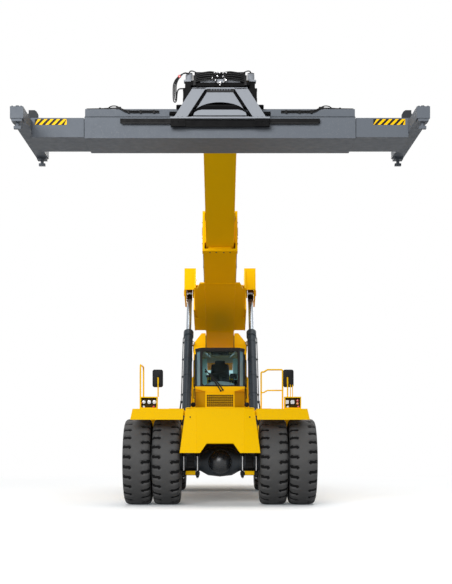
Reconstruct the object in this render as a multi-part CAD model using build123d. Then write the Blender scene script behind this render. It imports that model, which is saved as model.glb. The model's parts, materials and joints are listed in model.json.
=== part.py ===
"""Reach stacker: a container lift truck with a telescopic boom and a telescopic top spreader.

Millimetres. The machine faces -Y, +X is its left side, +Z is up, and z = 0 is the ground.
y = 0 is the front axle. The boom's own frame has s along the boom from its pivot and n square to it, upwards.
"""
from build123d import *
import math
import os

# ---------------------------------------------------------------- driving dimensions
RUN_GAP = 0.3             # clearance of slides, seats and running fits
SEAT = 0.2                # gap between parts that are bolted together
PIN_GAP = 0.05            # radial clearance of a pin in its bore

WHEELBASE = 6000
TYRE_RADIUS = 935
TYRE_WIDTH = 590
TYRE_SHOULDER = 75
RIM_RADIUS = 440
RIM_WALL = 22
BEAD_INSET, BEAD_HEIGHT = 30, 120     # how the tyre's side draws in to the rim
RIM_LIP = 40              # from the tyre's side in to the rim's edge
TWIN_GAP = 34             # between the two tyres of a front pair
FRONT_TYRE_IN = 857       # inner face of the inner front tyre
REAR_TYRE_IN = 925
KINGPIN_INSET = 85        # kingpin outwards from the rear tyre's inner face
AXLE_TUBE, SPINDLE, REAR_SPINDLE, KINGPIN = 205, 190, 90, 45          # radii

MEMBER_IN, MEMBER_OUT = 460, 660      # side members of the frame, inner and outer face
MEMBER_LOW, MEMBER_TOP = 1140, 1740
FRAME_FRONT = -930
SPINE_HALF, SPINE_LOW, SPINE_TOP = 400, 1560, 2100
TOWER_OUT = 730
WEIGHT_TOP, WEIGHT_LOW, WEIGHT_HALF = 2250, 640, 1450
REAR_OVERHANG = 2459.2    # counterweight's rear face behind the steered axle
TOW_Z, TOW_DEPTH, TOW_PIN = 1000, 260, 32

BOOM_PIVOT_Z = 3950
BOOM_ANGLE = 15.7
BOOM_HALF = 360
BOOM_LOW, BOOM_HIGH = -433, 470       # n of the base section's underside and top
BOOM_WALL = 25
BOOM_REAR, BOOM_FRONT = -700, 7350    # s of the base section's ends
WING_HALF = 570                       # the base section's widened bottom plate
INNER_HALF, INNER_LOW, INNER_HIGH = 300, -360, 380
INNER_WALL = 20
INNER_REAR, NOSE_START = 4950, 12450
HEAD_S, HEAD_N = 14410, -986          # the head pin
HEAD_HALF, HEAD_RADIUS = 170, 220
HEAD_PIN = 60
BOOM_PIN = 90

CAB_FRONT, CAB_REAR, CAB_HALF = 2400, 4500, 590
CAB_FLOOR, CAB_SILL, CAB_ROOF = 2240, 2670, 3600
CAB_NOSE_HALF, CAB_NOSE_DEPTH = 470, 330
CAB_WALL = 50
CAB_PILLAR = 40
DOOR_Y0, DOOR_Y1, DOOR_Z0, DOOR_Z1 = 3180, 4380, 2320, 3480
DOOR_GAP = 5              # between a door's leaf and the wall that it closes over
DOOR_LEAF = 35
DOOR_LAP = 20
HINGE_PIN = 12

BARREL_LENGTH, BARREL_RADIUS, BORE_RADIUS = 3340, 105, 84
CAB_CLEARANCE = 85        # between the cab's side and a lift cylinder
LIFT_BASE_Y, LIFT_BASE_Z = 1100, 1600
LIFT_PIN_RADIUS, LIFT_PIN_ANGLE = 2800, 25.6   # the boom's lift pin, from the pivot
LIFT_PIN = 60
ROD_RADIUS, ROD_LENGTH = 63, 3820
EYE_WIDTH, EYE_RADIUS = 140, 125
GLAND_PROUD = 18          # gland collar's radius over the barrel's
LUG_GAP, LUG_PLATE = 10, 40

DECK_Z, DECK_THICK, DECK_OUT = 2070, 40, 1810
APRON_LOW = 1840
LAMP_BOXES = ((-1680, -1320), (1360, 1710))    # x of each box's sides
LAMP_TOP, LAMP_DEPTH, LAMP_SHEET = 2325, 150, 18
RAIL_TUBE = 17            # radius of the handrails' tube
LADDER_Y, LADDER_LENGTH = 3680, 640
STEPS = (560, 900, 1240, 1580)
TANK_FRONT, TANK_REAR, TANK_LOW, TANK_TOP, TANK_BEND = 1650, 3500, 760, 1860, 90
HOOD_LENGTH, HOOD_TOP, HOOD_HALF = 1100, 3050, 740
HOOD_WALL = 50
SERVICE_Z0, SERVICE_Z1 = 2190, 2960
GRILLE_COLUMNS, GRILLE_ROWS = 13, 7
GRILLE_PITCH_X, GRILLE_PITCH_Z, GRILLE_HOLE, GRILLE_Z = 47, 41, 31, 2330

SPREADER_HALF = 2040
TUNNEL_OUT, TUNNEL_LOW, TUNNEL_TOP, TUNNEL_WALL = 460, 6000, 6320, 20
TOP_BOX_HALF, TOP_BOX_TOP = 380, 6460
RAIL_LOW, RAIL_TOP, RAIL_PROUD = 6222, 6282, 40
CORNER_X, CORNER_Y = 2926.5, 1129.5    # half the hole spacing of a 20 ft container's corner castings
END_BEAM_HALF_Y = 1220
SIDE_SHIFT = 800
BEAM_TRAVEL, BEAM_OVERLAP = 3050, 640
TURRET_HALF = 740
SLEW_RADIUS = 300
MOTOR_X, MOTOR_RADIUS = 476, 52
TUNNEL_MID = 15           # half the wall between the two tunnels
SLEW_Z = -330             # the slewing ring's underside, from the head pin
FRAME_TOP = -103          # the A-frames' top edge, from the head pin
ARCH_Z, ARCH_HALF, ARCH_RISE = -550, 486, 206  # springing line of the A-frames' arch, from the head pin
REAR_DROP = 35            # the rear A-frame ends this much lower, clear of the boom's neck
TWISTLOCK_SHANK, TWISTLOCK_HEAD = 27, (104, 56, 40)

# what follows from them
TWIN_PITCH = TYRE_WIDTH + TWIN_GAP
FRONT_WHEEL_X = FRONT_TYRE_IN + TYRE_WIDTH + TWIN_GAP / 2
REAR_WHEEL_X = REAR_TYRE_IN + TYRE_WIDTH / 2
KINGPIN_X = REAR_TYRE_IN + KINGPIN_INSET
AXLE_Z = TYRE_RADIUS
HUB_IN = FRONT_WHEEL_X - TWIN_PITCH / 2 - 60
LAMP_FRONT = FRAME_FRONT - SEAT
MEMBER_REAR = WHEELBASE - 1100
TOWER_FRONT, TOWER_REAR = WHEELBASE - 50, WHEELBASE + 1450
WEIGHT_FRONT = WHEELBASE + 1220
COUNTERWEIGHT_REAR = WHEELBASE + REAR_OVERHANG
BOOM_PIVOT_Y = WHEELBASE + 900
DECK_REAR = WHEELBASE + 1060
LIFT_X = CAB_HALF + CAB_CLEARANCE + BARREL_RADIUS
LUG_IN, LUG_OUT = LIFT_X - EYE_WIDTH / 2 - LUG_GAP, LIFT_X + EYE_WIDTH / 2 + LUG_GAP
DECK_IN = LIFT_X + 10
TOWER_RAIL_X = DECK_IN + 10
HOOD_REAR = TOWER_FRONT - 100
HOOD_FRONT = HOOD_REAR - HOOD_LENGTH
SERVICE_Y0, SERVICE_Y1 = HOOD_FRONT + 170, HOOD_REAR - 170
CAB_HINGE_X, CAB_HINGE_Y = CAB_HALF + DOOR_GAP + DOOR_LEAF, DOOR_Y1 + DOOR_LAP
SERVICE_HINGE_X, SERVICE_HINGE_Y = HOOD_HALF + DOOR_GAP + DOOR_LEAF, SERVICE_Y1 + DOOR_LAP
SIDES = (("left", 1), ("right", -1))

# ---------------------------------------------------------------- small makers


def block(x0, x1, y0, y1, z0, z1):
    """A block between its x, y and z limits."""
    return Pos((x0 + x1) / 2, (y0 + y1) / 2, (z0 + z1) / 2) * Box(abs(x1 - x0), abs(y1 - y0), abs(z1 - z0))


def rod_x(radius, x0, x1, y, z):
    """A round bar along X."""
    return Pos((x0 + x1) / 2, y, z) * Rot(Y=90) * Cylinder(radius, abs(x1 - x0))


def rod_y(radius, x, y0, y1, z):
    """A round bar along Y."""
    return Pos(x, (y0 + y1) / 2, z) * Rot(X=90) * Cylinder(radius, abs(y1 - y0))


def rod_z(radius, x, y, z0, z1):
    """A round bar along Z."""
    return Pos(x, y, (z0 + z1) / 2) * Cylinder(radius, abs(z1 - z0))


def side_plate(points, x0, x1):
    """A plate whose outline is given in (y, z), from x0 to x1."""
    face = make_face(Polyline([Vector(x0, y, z) for y, z in points], close=True))
    return extrude(face, amount=x1 - x0, dir=(1, 0, 0))


def front_plate(points, y0, y1):
    """A plate whose outline is given in (x, z), from y0 to y1."""
    face = make_face(Polyline([Vector(x, y0, z) for x, z in points], close=True))
    return extrude(face, amount=y1 - y0, dir=(0, 1, 0))


def plan_plate(points, z0, z1):
    """A plate whose outline is given in (x, y), from z0 to z1."""
    face = make_face(Polyline([Vector(x, y, z0) for x, y in points], close=True))
    return extrude(face, amount=z1 - z0, dir=(0, 0, 1))


def rail(points, radius, bend):
    """A bent round tube along the points."""
    path = FilletPolyline([Vector(*p) for p in points], radius=bend) if len(points) > 2 else Line(*points)
    start = Plane(origin=path @ 0, z_dir=path % 0)
    return sweep(start * Circle(radius), path=path)


def twin(shape):
    """The shape and its mirror image on the other side of the machine."""
    return [shape, mirror(shape, about=Plane.YZ)]


def join(parts):
    """The listed shapes fused into one where they touch."""
    parts = list(parts)
    return parts[0].fuse(*parts[1:]) if len(parts) > 1 else parts[0]


def solids_of(shapes):
    """One compound of the listed shapes' solids, which don't touch."""
    found = []
    for shape in shapes:
        found += shape.solids()
    return Compound(children=found) if len(found) > 1 else found[0]


# ---------------------------------------------------------------- boom frame

BOOM_PLACE = Pos(0, BOOM_PIVOT_Y, BOOM_PIVOT_Z) * Rot(X=-BOOM_ANGLE)


def boom_block(x0, x1, s0, s1, n0, n1):
    """A block in the boom's frame, before it is placed."""
    return block(x0, x1, -s1, -s0, n0, n1)


def boom_plate(points, x0, x1):
    """A plate whose outline is given in (s, n)."""
    return side_plate([(-s, n) for s, n in points], x0, x1)


def boom_point(s, n):
    """The (y, z) of a point of the boom's frame."""
    a = math.radians(BOOM_ANGLE)
    return (BOOM_PIVOT_Y - s * math.cos(a) + n * math.sin(a),
            BOOM_PIVOT_Z + s * math.sin(a) + n * math.cos(a))


HEAD_Y, HEAD_Z = boom_point(HEAD_S, HEAD_N)
LIFT_PIN_ABOVE = math.radians(LIFT_PIN_ANGLE - BOOM_ANGLE)
LIFT_PIN_S = LIFT_PIN_RADIUS * math.cos(LIFT_PIN_ABOVE)
LIFT_PIN_N = LIFT_PIN_RADIUS * math.sin(LIFT_PIN_ABOVE)
LIFT_PIN_Y, LIFT_PIN_Z = boom_point(LIFT_PIN_S, LIFT_PIN_N)
LIFT_LENGTH = math.dist((LIFT_BASE_Y, LIFT_BASE_Z), (LIFT_PIN_Y, LIFT_PIN_Z))
LIFT_ANGLE = math.degrees(math.atan2(LIFT_PIN_Z - LIFT_BASE_Z, LIFT_PIN_Y - LIFT_BASE_Y))

# ---------------------------------------------------------------- wheels


def tyre(x):
    """One tyre on an axle along X, centred on x."""
    half, shoulder = TYRE_WIDTH / 2, TYRE_SHOULDER
    wall, corner = TYRE_RADIUS - 1.5 * shoulder, TYRE_RADIUS - 0.5 * shoulder
    # distance from the middle and radius of half the section, from the bead to the tread
    section = [(half - BEAD_INSET, RIM_RADIUS), (half, RIM_RADIUS + BEAD_HEIGHT), (half, wall),
               (half - 0.28 * shoulder, corner), (half - shoulder, TYRE_RADIUS)]
    points = [(-u, r) for u, r in section] + section[::-1]
    return revolve(make_face(Polyline([Vector(x + u, r, 0) for u, r in points], close=True)), Axis.X)


def rim(x, hub_inner, disc_x):
    """One wheel rim with its disc at disc_x and a hub hole."""
    half = TYRE_WIDTH / 2 - RIM_LIP
    barrel = rod_x(RIM_RADIUS, x - half, x + half, 0, 0)
    barrel -= rod_x(RIM_RADIUS - RIM_WALL, x - half - 1, x + half + 1, 0, 0)
    disc = rod_x(RIM_RADIUS - RIM_WALL / 2, disc_x - 15, disc_x + 15, 0, 0)
    return join([barrel, disc]) - rod_x(hub_inner, x - half - 10, x + half + 10, 0, 0)


def front_wheels(nodes):
    """Twin tyres on their rims, joined by the hub drum."""
    inner_x, outer_x = FRONT_WHEEL_X - TWIN_PITCH / 2, FRONT_WHEEL_X + TWIN_PITCH / 2
    tyres = solids_of([Pos(0, 0, AXLE_Z) * tyre(x) for x in (inner_x, outer_x)])
    rims = [rim(inner_x, 300, inner_x + 200), rim(outer_x, 150, outer_x - 200)]
    spacer = rod_x(RIM_RADIUS - 4, inner_x + TYRE_WIDTH / 2 - 41, outer_x - TYRE_WIDTH / 2 + 41, 0, 0) \
        - rod_x(RIM_RADIUS - 60, inner_x, outer_x, 0, 0)
    drum = rod_x(302, HUB_IN, outer_x - 185, 0, 0) - rod_x(SPINDLE + PIN_GAP, HUB_IN - 1, HUB_IN + 390, 0, 0)
    nave = rod_x(152, outer_x - 185, outer_x + 40, 0, 0)
    hub = Pos(0, 0, AXLE_Z) * join(rims + [spacer, drum, nave])
    for (side, _), pair, wheel in zip(SIDES, twin(tyres), twin(hub)):
        nodes["front_tyres_" + side] = pair
        nodes["front_rims_" + side] = wheel


def rear_wheels(nodes):
    """Single steered wheels: a tyre and a dished rim around each knuckle's spindle."""
    hub = rod_x(170, REAR_WHEEL_X + 20, REAR_WHEEL_X + 240, 0, 0) \
        - rod_x(REAR_SPINDLE + PIN_GAP, REAR_WHEEL_X + 19, REAR_WHEEL_X + 200, 0, 0)
    place = Pos(0, WHEELBASE, AXLE_Z)
    wheel = place * join([rim(REAR_WHEEL_X, 110, REAR_WHEEL_X + 150), hub])
    for (side, _), tyre_solid, rim_solid in zip(SIDES, twin(place * tyre(REAR_WHEEL_X)), twin(wheel)):
        nodes["rear_tyre_" + side] = tyre_solid
        nodes["rear_rim_" + side] = rim_solid


# ---------------------------------------------------------------- axles


def front_axle():
    """A drive axle: banjo housing with a round cover, tapering to tubes that carry the hubs."""
    stations = [(0, 330, 250), (260, 300, 240), (430, AXLE_TUBE, AXLE_TUBE)]
    halves = []
    for _, s in SIDES:
        sections = [Plane(origin=(s * x, 0, AXLE_Z), x_dir=(0, 1, 0), z_dir=(1, 0, 0)) * Ellipse(deep, tall)
                    for x, tall, deep in stations]
        halves.append(loft(sections, ruled=True))
    tube = rod_x(AXLE_TUBE, -HUB_IN + 40, HUB_IN - 40, 0, AXLE_Z)
    spindle = rod_x(SPINDLE, -HUB_IN - 380, HUB_IN + 380, 0, AXLE_Z)
    cover = Pos(0, -175, AXLE_Z) * Sphere(246)
    ring = rod_y(262, 0, -262, -200, AXLE_Z)
    pads = [block(s * 440, s * 840, -190, 190, AXLE_Z + 65, MEMBER_LOW) for _, s in SIDES]
    pinion = rod_y(150, 0, 200, 480, AXLE_Z)
    return join(halves + [tube, spindle, cover, ring, pinion] + pads)


def axle_clamps():
    """Saddles under the axle, drawn up to the frame by long bolts."""
    parts = []
    for _, s in SIDES:
        lower = block(s * 445, s * 835, -185, 185, 640, 700)
        seat = block(s * 545, s * 735, -150, 150, 700, AXLE_Z - 200)
        bolts = [rod_z(18, s * x, y, 600, 1000) for x in (490, 790) for y in (-150, 150)]
        parts.append(join([lower, seat] + bolts) - rod_x(AXLE_TUBE, s * 400, s * 900, 0, AXLE_Z))
    return solids_of(parts)


def steer_axle():
    """The rear axle beam with its steering cylinder and the forks that hold the knuckles."""
    y, z = WHEELBASE, AXLE_Z
    parts = [block(-600, 600, y - 190, y + 190, z - 175, z + 175), rod_x(95, -330, 330, y - 310, z),
             block(-230, 230, y - 170, y + 170, z + 165, SPINE_LOW)]
    for _, s in SIDES:
        arm = plan_plate([(s * 590, y - 190), (s * 590, y + 190), (s * (KINGPIN_X + 60), y + 90),
                          (s * (KINGPIN_X + 60), y - 90)], z - 210, z + 210)
        # the fork's mouth, and the slot that the knuckle's arm swings in
        arm -= block(s * (KINGPIN_X - 110), s * (KINGPIN_X + 100), y - 200, y + 200, z - 140, z + 140)
        arm -= block(s * (KINGPIN_X - 320), s * (KINGPIN_X + 100), y - 320, y - 20, z - 45, z + 45)
        parts += [arm, rod_z(KINGPIN, s * KINGPIN_X, y, z - 200, z + 200),
                  block(s * 200, s * 260, y - 330, y - 180, z - 135, z + 135)]
    return join(parts)


def knuckle():
    """The swivelling stub that carries a rear wheel, on the machine's left."""
    barrel = rod_z(85, KINGPIN_X, WHEELBASE, AXLE_Z - 134, AXLE_Z + 134)
    spindle = rod_x(REAR_SPINDLE, KINGPIN_X + 60, REAR_WHEEL_X + 195, WHEELBASE, AXLE_Z)
    arm = block(KINGPIN_X - 60, KINGPIN_X + 60, WHEELBASE - 300, WHEELBASE - 60, AXLE_Z - 30, AXLE_Z + 30)
    return join([barrel, spindle, arm]) - rod_z(KINGPIN + PIN_GAP, KINGPIN_X, WHEELBASE, AXLE_Z - 210, AXLE_Z + 210)


# ---------------------------------------------------------------- chassis

def chassis_frame():
    """Two box members, a narrow spine over the steered axle and the towers that carry the boom."""
    parts = []
    lug_end = LUG_OUT + LUG_PLATE
    cheek_y0, cheek_y1, cheek_low = LIFT_BASE_Y - 230, LIFT_BASE_Y + 330, LIFT_BASE_Z - 260
    cheek = [(cheek_y0, cheek_low), (cheek_y1, cheek_low), (LIFT_BASE_Y + 125, LIFT_BASE_Z - 40),
             (LIFT_BASE_Y - 125, LIFT_BASE_Z - 40)]
    deck_low = DECK_Z - DECK_THICK
    # outriggers that carry the decks: y, underside
    outriggers = ((-700, 1930), (2500, 1880), (4400, 1880))
    for _, s in SIDES:
        parts.append(block(s * MEMBER_IN, s * MEMBER_OUT, FRAME_FRONT, MEMBER_REAR, MEMBER_LOW, MEMBER_TOP))
        # lift cylinder bracket: two cheeks on a web beside the member
        for x0, x1 in ((MEMBER_OUT - 10, LUG_IN), (LUG_OUT, lug_end)):
            parts.append(side_plate(cheek, s * x0, s * x1))
            parts.append(rod_x(EYE_RADIUS + 5, s * x0, s * x1, LIFT_BASE_Y, LIFT_BASE_Z))
        parts.append(block(s * (MEMBER_OUT - 10), s * lug_end, cheek_y0, cheek_y1, cheek_low, cheek_low + 80))
        parts.append(rod_x(LIFT_PIN, s * (LUG_IN - 5), s * (LUG_OUT + 30), LIFT_BASE_Y, LIFT_BASE_Z))
        for y, low in outriggers:
            parts.append(block(s * (MEMBER_OUT - 10), s * (DECK_OUT - 110), y - 40, y + 40, low, deck_low))
            parts.append(block(s * MEMBER_IN, s * MEMBER_OUT, y - 40, y + 40, MEMBER_TOP - 5, deck_low))
        parts.append(block(s * (SPINE_HALF - 100), s * 1500, DECK_REAR - 100, DECK_REAR - 20, deck_low - 70, deck_low))
    cross = MEMBER_IN + 5
    parts.append(block(-cross, cross, FRAME_FRONT, FRAME_FRONT + 60, 1380, MEMBER_TOP))
    parts.append(block(-cross, cross, LIFT_BASE_Y - 140, LIFT_BASE_Y + 140, 1300, MEMBER_TOP))
    parts.append(block(-cross, cross, FRAME_FRONT, CAB_FRONT - 20, MEMBER_TOP - 30, MEMBER_TOP))
    parts.append(block(-MEMBER_OUT, MEMBER_OUT, MEMBER_REAR - 650, MEMBER_REAR, MEMBER_LOW + 200, SPINE_TOP - 140))
    parts.append(block(-SPINE_HALF, SPINE_HALF, MEMBER_REAR - 20, WEIGHT_FRONT - RUN_GAP, SPINE_LOW, SPINE_TOP))
    # boom towers: box plates with a raked outline, drawn in at the top
    inner, outer, crown = BOOM_HALF + 40, TOWER_OUT, BOOM_PIVOT_Z + 380
    outline = [(TOWER_FRONT, SPINE_TOP - 50), (TOWER_FRONT + 40, 2500), (BOOM_PIVOT_Y - 400, BOOM_PIVOT_Z + 60),
               (BOOM_PIVOT_Y - 250, crown), (BOOM_PIVOT_Y + 220, crown), (BOOM_PIVOT_Y + 380, BOOM_PIVOT_Z + 100),
               (TOWER_REAR, 2900), (TOWER_REAR, WEIGHT_TOP + RUN_GAP), (WEIGHT_FRONT - RUN_GAP, WEIGHT_TOP + RUN_GAP),
               (WEIGHT_FRONT - RUN_GAP, SPINE_TOP - 50)]
    slope = front_plate([(inner, 1900), (outer, 1900), (outer, BOOM_PIVOT_Z + 90), (inner + 110, crown),
                         (inner, crown)], TOWER_FRONT - 100, TOWER_REAR + 100)
    tower = side_plate(outline, inner, outer) & slope
    pin = rod_x(BOOM_PIN, BOOM_HALF - 22, inner + 5, BOOM_PIVOT_Y, BOOM_PIVOT_Z)
    parts += twin(join([tower, pin]))
    parts.append(block(-outer, outer, TOWER_FRONT, WEIGHT_FRONT - RUN_GAP, SPINE_TOP - 140, SPINE_TOP))
    return join(parts)


def front_fascia():
    """The folded front plate with its cut-out over the axle."""
    top_z, low_z, cut_z = DECK_Z + 20, MEMBER_LOW, MEMBER_LOW + 200
    outline = [(-720, top_z), (720, top_z), (850, low_z), (420, low_z), (280, cut_z), (-280, cut_z), (-420, low_z),
               (-850, low_z)]
    back = FRAME_FRONT - SEAT
    slab = front_plate(outline, back - 60, back)
    fold = plan_plate([(-860, back - 9), (-500, back - 55), (500, back - 55), (860, back - 9), (860, back),
                       (-860, back)], low_z, top_z)
    return slab & fold


def deck(side):
    """The walkway over the wheels on one side, with its front apron."""
    s = side
    front = FRAME_FRONT - 25
    barrel_edge, cab_edge = LIFT_X + 150, CAB_HALF + 110
    plan = [(DECK_IN, front), (DECK_OUT, front), (DECK_OUT, DECK_REAR), (DECK_IN, DECK_REAR), (DECK_IN, CAB_REAR + 150),
            (cab_edge, CAB_REAR + 150), (cab_edge, CAB_FRONT - 100), (barrel_edge, CAB_FRONT - 100),
            (barrel_edge, 700), (DECK_IN, 700)]
    floor = plan_plate([(s * x, y) for x, y in plan], DECK_Z - DECK_THICK, DECK_Z)
    apron = front_plate([(s * x, z) for x, z in ((781, APRON_LOW), (DECK_OUT + 80, APRON_LOW), (DECK_OUT + 28, DECK_Z),
                                                 (765, DECK_Z))], front - 30, front)
    lip = front_plate([(s * x, z) for x, z in ((781, APRON_LOW), (DECK_OUT + 80, APRON_LOW), (DECK_OUT + 76,
                                               APRON_LOW + 25), (779, APRON_LOW + 25))], front, front + 90)
    skirt = block(s * (DECK_OUT - 25), s * DECK_OUT, front, DECK_REAR, DECK_Z - 80, DECK_Z - DECK_THICK)
    return join([floor, apron, lip, skirt])


def lamp_boxes():
    """Open-fronted boxes on the decks that hold the front lamps."""
    parts = []
    for x0, x1 in LAMP_BOXES:
        box = block(x0, x1, LAMP_FRONT, LAMP_FRONT + 230, DECK_Z + SEAT, LAMP_TOP)
        parts.append(box - block(x0 + LAMP_SHEET, x1 - LAMP_SHEET, LAMP_FRONT - 1, LAMP_FRONT + LAMP_DEPTH,
                                 DECK_Z + 25, LAMP_TOP - 22))
    return solids_of(parts)


def handrails():
    """Tube rails on the decks: one loop, or one frame with a lower cross tube, after another."""
    foot, top = DECK_Z + SEAT, DECK_Z + 950
    corner_x = 110 - DECK_OUT
    corner = rail([(corner_x, -600, foot), (corner_x, -600, top), (corner_x, 400, top), (corner_x, 400, foot)],
                  RAIL_TUBE, 90)
    # the stepped frame in front of the left walkway: an upper and a lower tube between two posts
    y, in_x, low_x, high_x, out_x = -700, 875, 930, 1010, 1330
    frame = [rail([(out_x, y, foot), (out_x, y, 2905), (high_x, y, 2905), (low_x, y, 2856), (in_x, y, 2856),
                   (in_x, y, foot)], RAIL_TUBE, 28),
             rail([(out_x, y, 2465), (high_x, y, 2465), (low_x, y, 2420), (in_x, y, 2420)], RAIL_TUBE * 0.85, 20)]
    # loops beside the towers
    y0, y1, high = WHEELBASE, WHEELBASE + 960, DECK_Z + 1260
    loops = []
    for _, s in SIDES:
        x = s * TOWER_RAIL_X
        loops.append(join([rail([(x, y0, foot), (x, y0, high), (x, y1, high), (x, y1, foot)], RAIL_TUBE, 110),
                           rail([(x, y0, DECK_Z + 630), (x, y1, DECK_Z + 630)], RAIL_TUBE * 0.85, 0)]))
    return solids_of([corner, join(frame)] + loops)


def mirrors():
    """Rear-view mirrors behind the poles that stand on the lamp boxes."""
    pole_y, thick, thin = -805, 15, 9
    parts = []
    # x of the mirror, then x of its pole and of its thinner stays
    for x, poles in ((-1320, (-1310, )), (1450, (1430, 1490, 1535))):
        shell = block(x - 112, x + 112, pole_y + 10, pole_y + 70, 2530, 2905)
        pieces = [fillet(shell.edges().filter_by(Axis.Y), 45)]
        for pole in poles:
            radius, top = (thick, 2740) if pole == poles[0] else (thin, 2600)
            pieces.append(rail([(pole, pole_y, LAMP_TOP + SEAT), (pole, pole_y, top)], radius, 0))
            pieces.append(block(pole - thin, pole + thin, pole_y, pole_y + 15, 2560, 2600))
        parts.append(join(pieces))
    return solids_of(parts)


def access_ladders():
    """Steps from the ground to the decks behind the tanks."""
    y0, y1 = LADDER_Y, LADDER_Y + LADDER_LENGTH
    parts = []
    for _, s in SIDES:
        x0, x1 = s * (DECK_OUT - 570), s * (DECK_OUT - 26)
        treads = [block(x0, x1, y0 + 20, y1 - 20, z, z + 35) for z in STEPS]
        cheeks = [block(x0, x1, y, y + 25, STEPS[0] - 80, DECK_Z - DECK_THICK - SEAT) for y in (y0, y1 - 25)]
        parts.append(join(treads + cheeks))
    return solids_of(parts)


def side_tank(side):
    """A tank with rounded lower edges between the wheels."""
    x0, x1 = side * (MEMBER_OUT + 110), side * (DECK_OUT - 50)
    body = block(x0, x1, TANK_FRONT, TANK_REAR, TANK_LOW, TANK_TOP)
    body = fillet(body.edges().filter_by(Axis.Y), TANK_BEND)
    bracket = block(side * (MEMBER_OUT + RUN_GAP), x0 + side * 5, TANK_FRONT + 350, TANK_REAR - 400, 1250, 1500)
    return join([body, bracket])


def engine_block():
    """The engine and gearbox as one plain block with its propeller shaft."""
    parts = [block(-410, 410, 2800, 4150, 1020, 1960), block(-270, 270, 2150, 2810, 820, 1500),
             rod_y(60, 0, 480 + RUN_GAP, 2160, AXLE_Z)]
    for _, s in SIDES:
        parts += [block(s * 400, s * (MEMBER_IN - RUN_GAP), y, y + 120, 1300, 1460) for y in (2950, 3900)]
    return join(parts)


def cooler_hood():
    """The housing behind the cab, open at both sides where its doors hang, with the cooler inside."""
    y0, y1, z1, half, wall = HOOD_FRONT, HOOD_REAR, HOOD_TOP, HOOD_HALF, HOOD_WALL
    foot = SPINE_TOP + RUN_GAP
    shell = block(-half, half, y0, y1, foot, z1)
    shell = chamfer(shell.edges().filter_by(Axis.Y).group_by(Axis.Z)[-1], 60)
    shell -= block(wall - half, half - wall, y0 + wall, y1 - wall, foot + wall, z1 - wall - 20)
    shell -= block(-half - 1, half + 1, SERVICE_Y0, SERVICE_Y1, SERVICE_Z0, SERVICE_Z1)
    cooler = block(-420, 420, y0 + 300, y1 - 300, foot + wall - 5, z1 - 150)
    lugs = []
    for _, s in SIDES:
        lugs += hinge_lugs(s, half - 5, SERVICE_HINGE_X, SERVICE_HINGE_Y, SERVICE_Z0, SERVICE_Z1)
    return join([shell, cooler] + lugs)


def service_door(side):
    """One of the hood's side doors, hung at its rear edge."""
    x0 = HOOD_HALF + DOOR_GAP
    leaf = block(side * x0, side * (x0 + DOOR_LEAF), SERVICE_Y0 - DOOR_LAP, SERVICE_Y1 + DOOR_LAP,
                 SERVICE_Z0 - DOOR_LAP, SERVICE_Z1 + DOOR_LAP)
    return join([leaf, rod_z(HINGE_PIN, side * SERVICE_HINGE_X, SERVICE_HINGE_Y, SERVICE_Z0 - 45, SERVICE_Z1 + 45)])


def counterweight():
    """The cast weight behind the steered axle, with a towing clevis."""
    rear, half = COUNTERWEIGHT_REAR, WEIGHT_HALF
    body = plan_plate([(-half, WEIGHT_FRONT), (half, WEIGHT_FRONT), (half, rear - 350), (half - 300, rear),
                       (300 - half, rear), (-half, rear - 350)], WEIGHT_LOW, WEIGHT_TOP)
    low = front_plate([(-half - 50, 1000), (-half - 50, WEIGHT_TOP + 10), (half + 50, WEIGHT_TOP + 10),
                       (half + 50, 1000), (half - 300, WEIGHT_LOW - 40), (300 - half, WEIGHT_LOW - 40)],
                      WEIGHT_FRONT - 10, rear + 10)
    body = body & low
    body -= block(-220, 220, rear - TOW_DEPTH, rear + 10, WEIGHT_LOW - 10, TOW_Z + 420)
    body -= [block(s * 500, s * (half + 60), rear - 330, rear + 10, WEIGHT_TOP - 160, WEIGHT_TOP + 20)
             for _, s in SIDES]
    ears = [block(-110, 110, rear - TOW_DEPTH - 10, rear - 30, z0, z1)
            for z0, z1 in ((TOW_Z - 130, TOW_Z - 90), (TOW_Z + 90, TOW_Z + 130))]
    return join([body] + ears) - rod_z(TOW_PIN, 0, rear - 110, TOW_Z - 140, TOW_Z + 140)


# ---------------------------------------------------------------- cab


def cab_outline(inset):
    """Plan of the cab, its walls drawn in by the inset."""
    half, nose = CAB_HALF - inset, CAB_NOSE_HALF - inset * 0.6
    slant_y = CAB_FRONT + CAB_NOSE_DEPTH + inset * 0.3
    return [(-nose, CAB_FRONT + inset), (nose, CAB_FRONT + inset), (half, slant_y), (half, CAB_REAR - inset),
            (-half, CAB_REAR - inset), (-half, slant_y)]


def cab_openings(gap, thickness, depth):
    """The front, corner, side and rear window places as slabs; gap draws their edges in, depth is how far the slab's
    middle lies inside the outer face."""
    low, high = CAB_SILL + 30 + gap, CAB_ROOF - 75 - gap
    front_half = CAB_NOSE_HALF - CAB_PILLAR - gap
    t = thickness / 2
    slabs = [block(-front_half, front_half, CAB_FRONT + depth - t, CAB_FRONT + depth + t, low, high),
             block(gap - 450, 450 - gap, CAB_REAR - depth - t, CAB_REAR - depth + t, low + 70, high - 30)]
    span = math.hypot(CAB_NOSE_DEPTH, CAB_HALF - CAB_NOSE_HALF)
    slant = math.degrees(math.atan2(CAB_NOSE_DEPTH, CAB_HALF - CAB_NOSE_HALF))
    for _, s in SIDES:
        pane = Pos(0, depth, (low + high) / 2) * Box(span - 1.6 * CAB_PILLAR - 2 * gap, thickness, high - low)
        corner = Pos(s * (CAB_HALF + CAB_NOSE_HALF) / 2, CAB_FRONT + CAB_NOSE_DEPTH / 2, 0)
        slabs.append(corner * Rot(Z=s * slant) * pane)
        slabs.append(block(s * (CAB_HALF - depth - t), s * (CAB_HALF - depth + t),
                           CAB_FRONT + CAB_NOSE_DEPTH + 40 + gap, DOOR_Y0 - 60 - gap, low, high))
    return slabs


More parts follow.
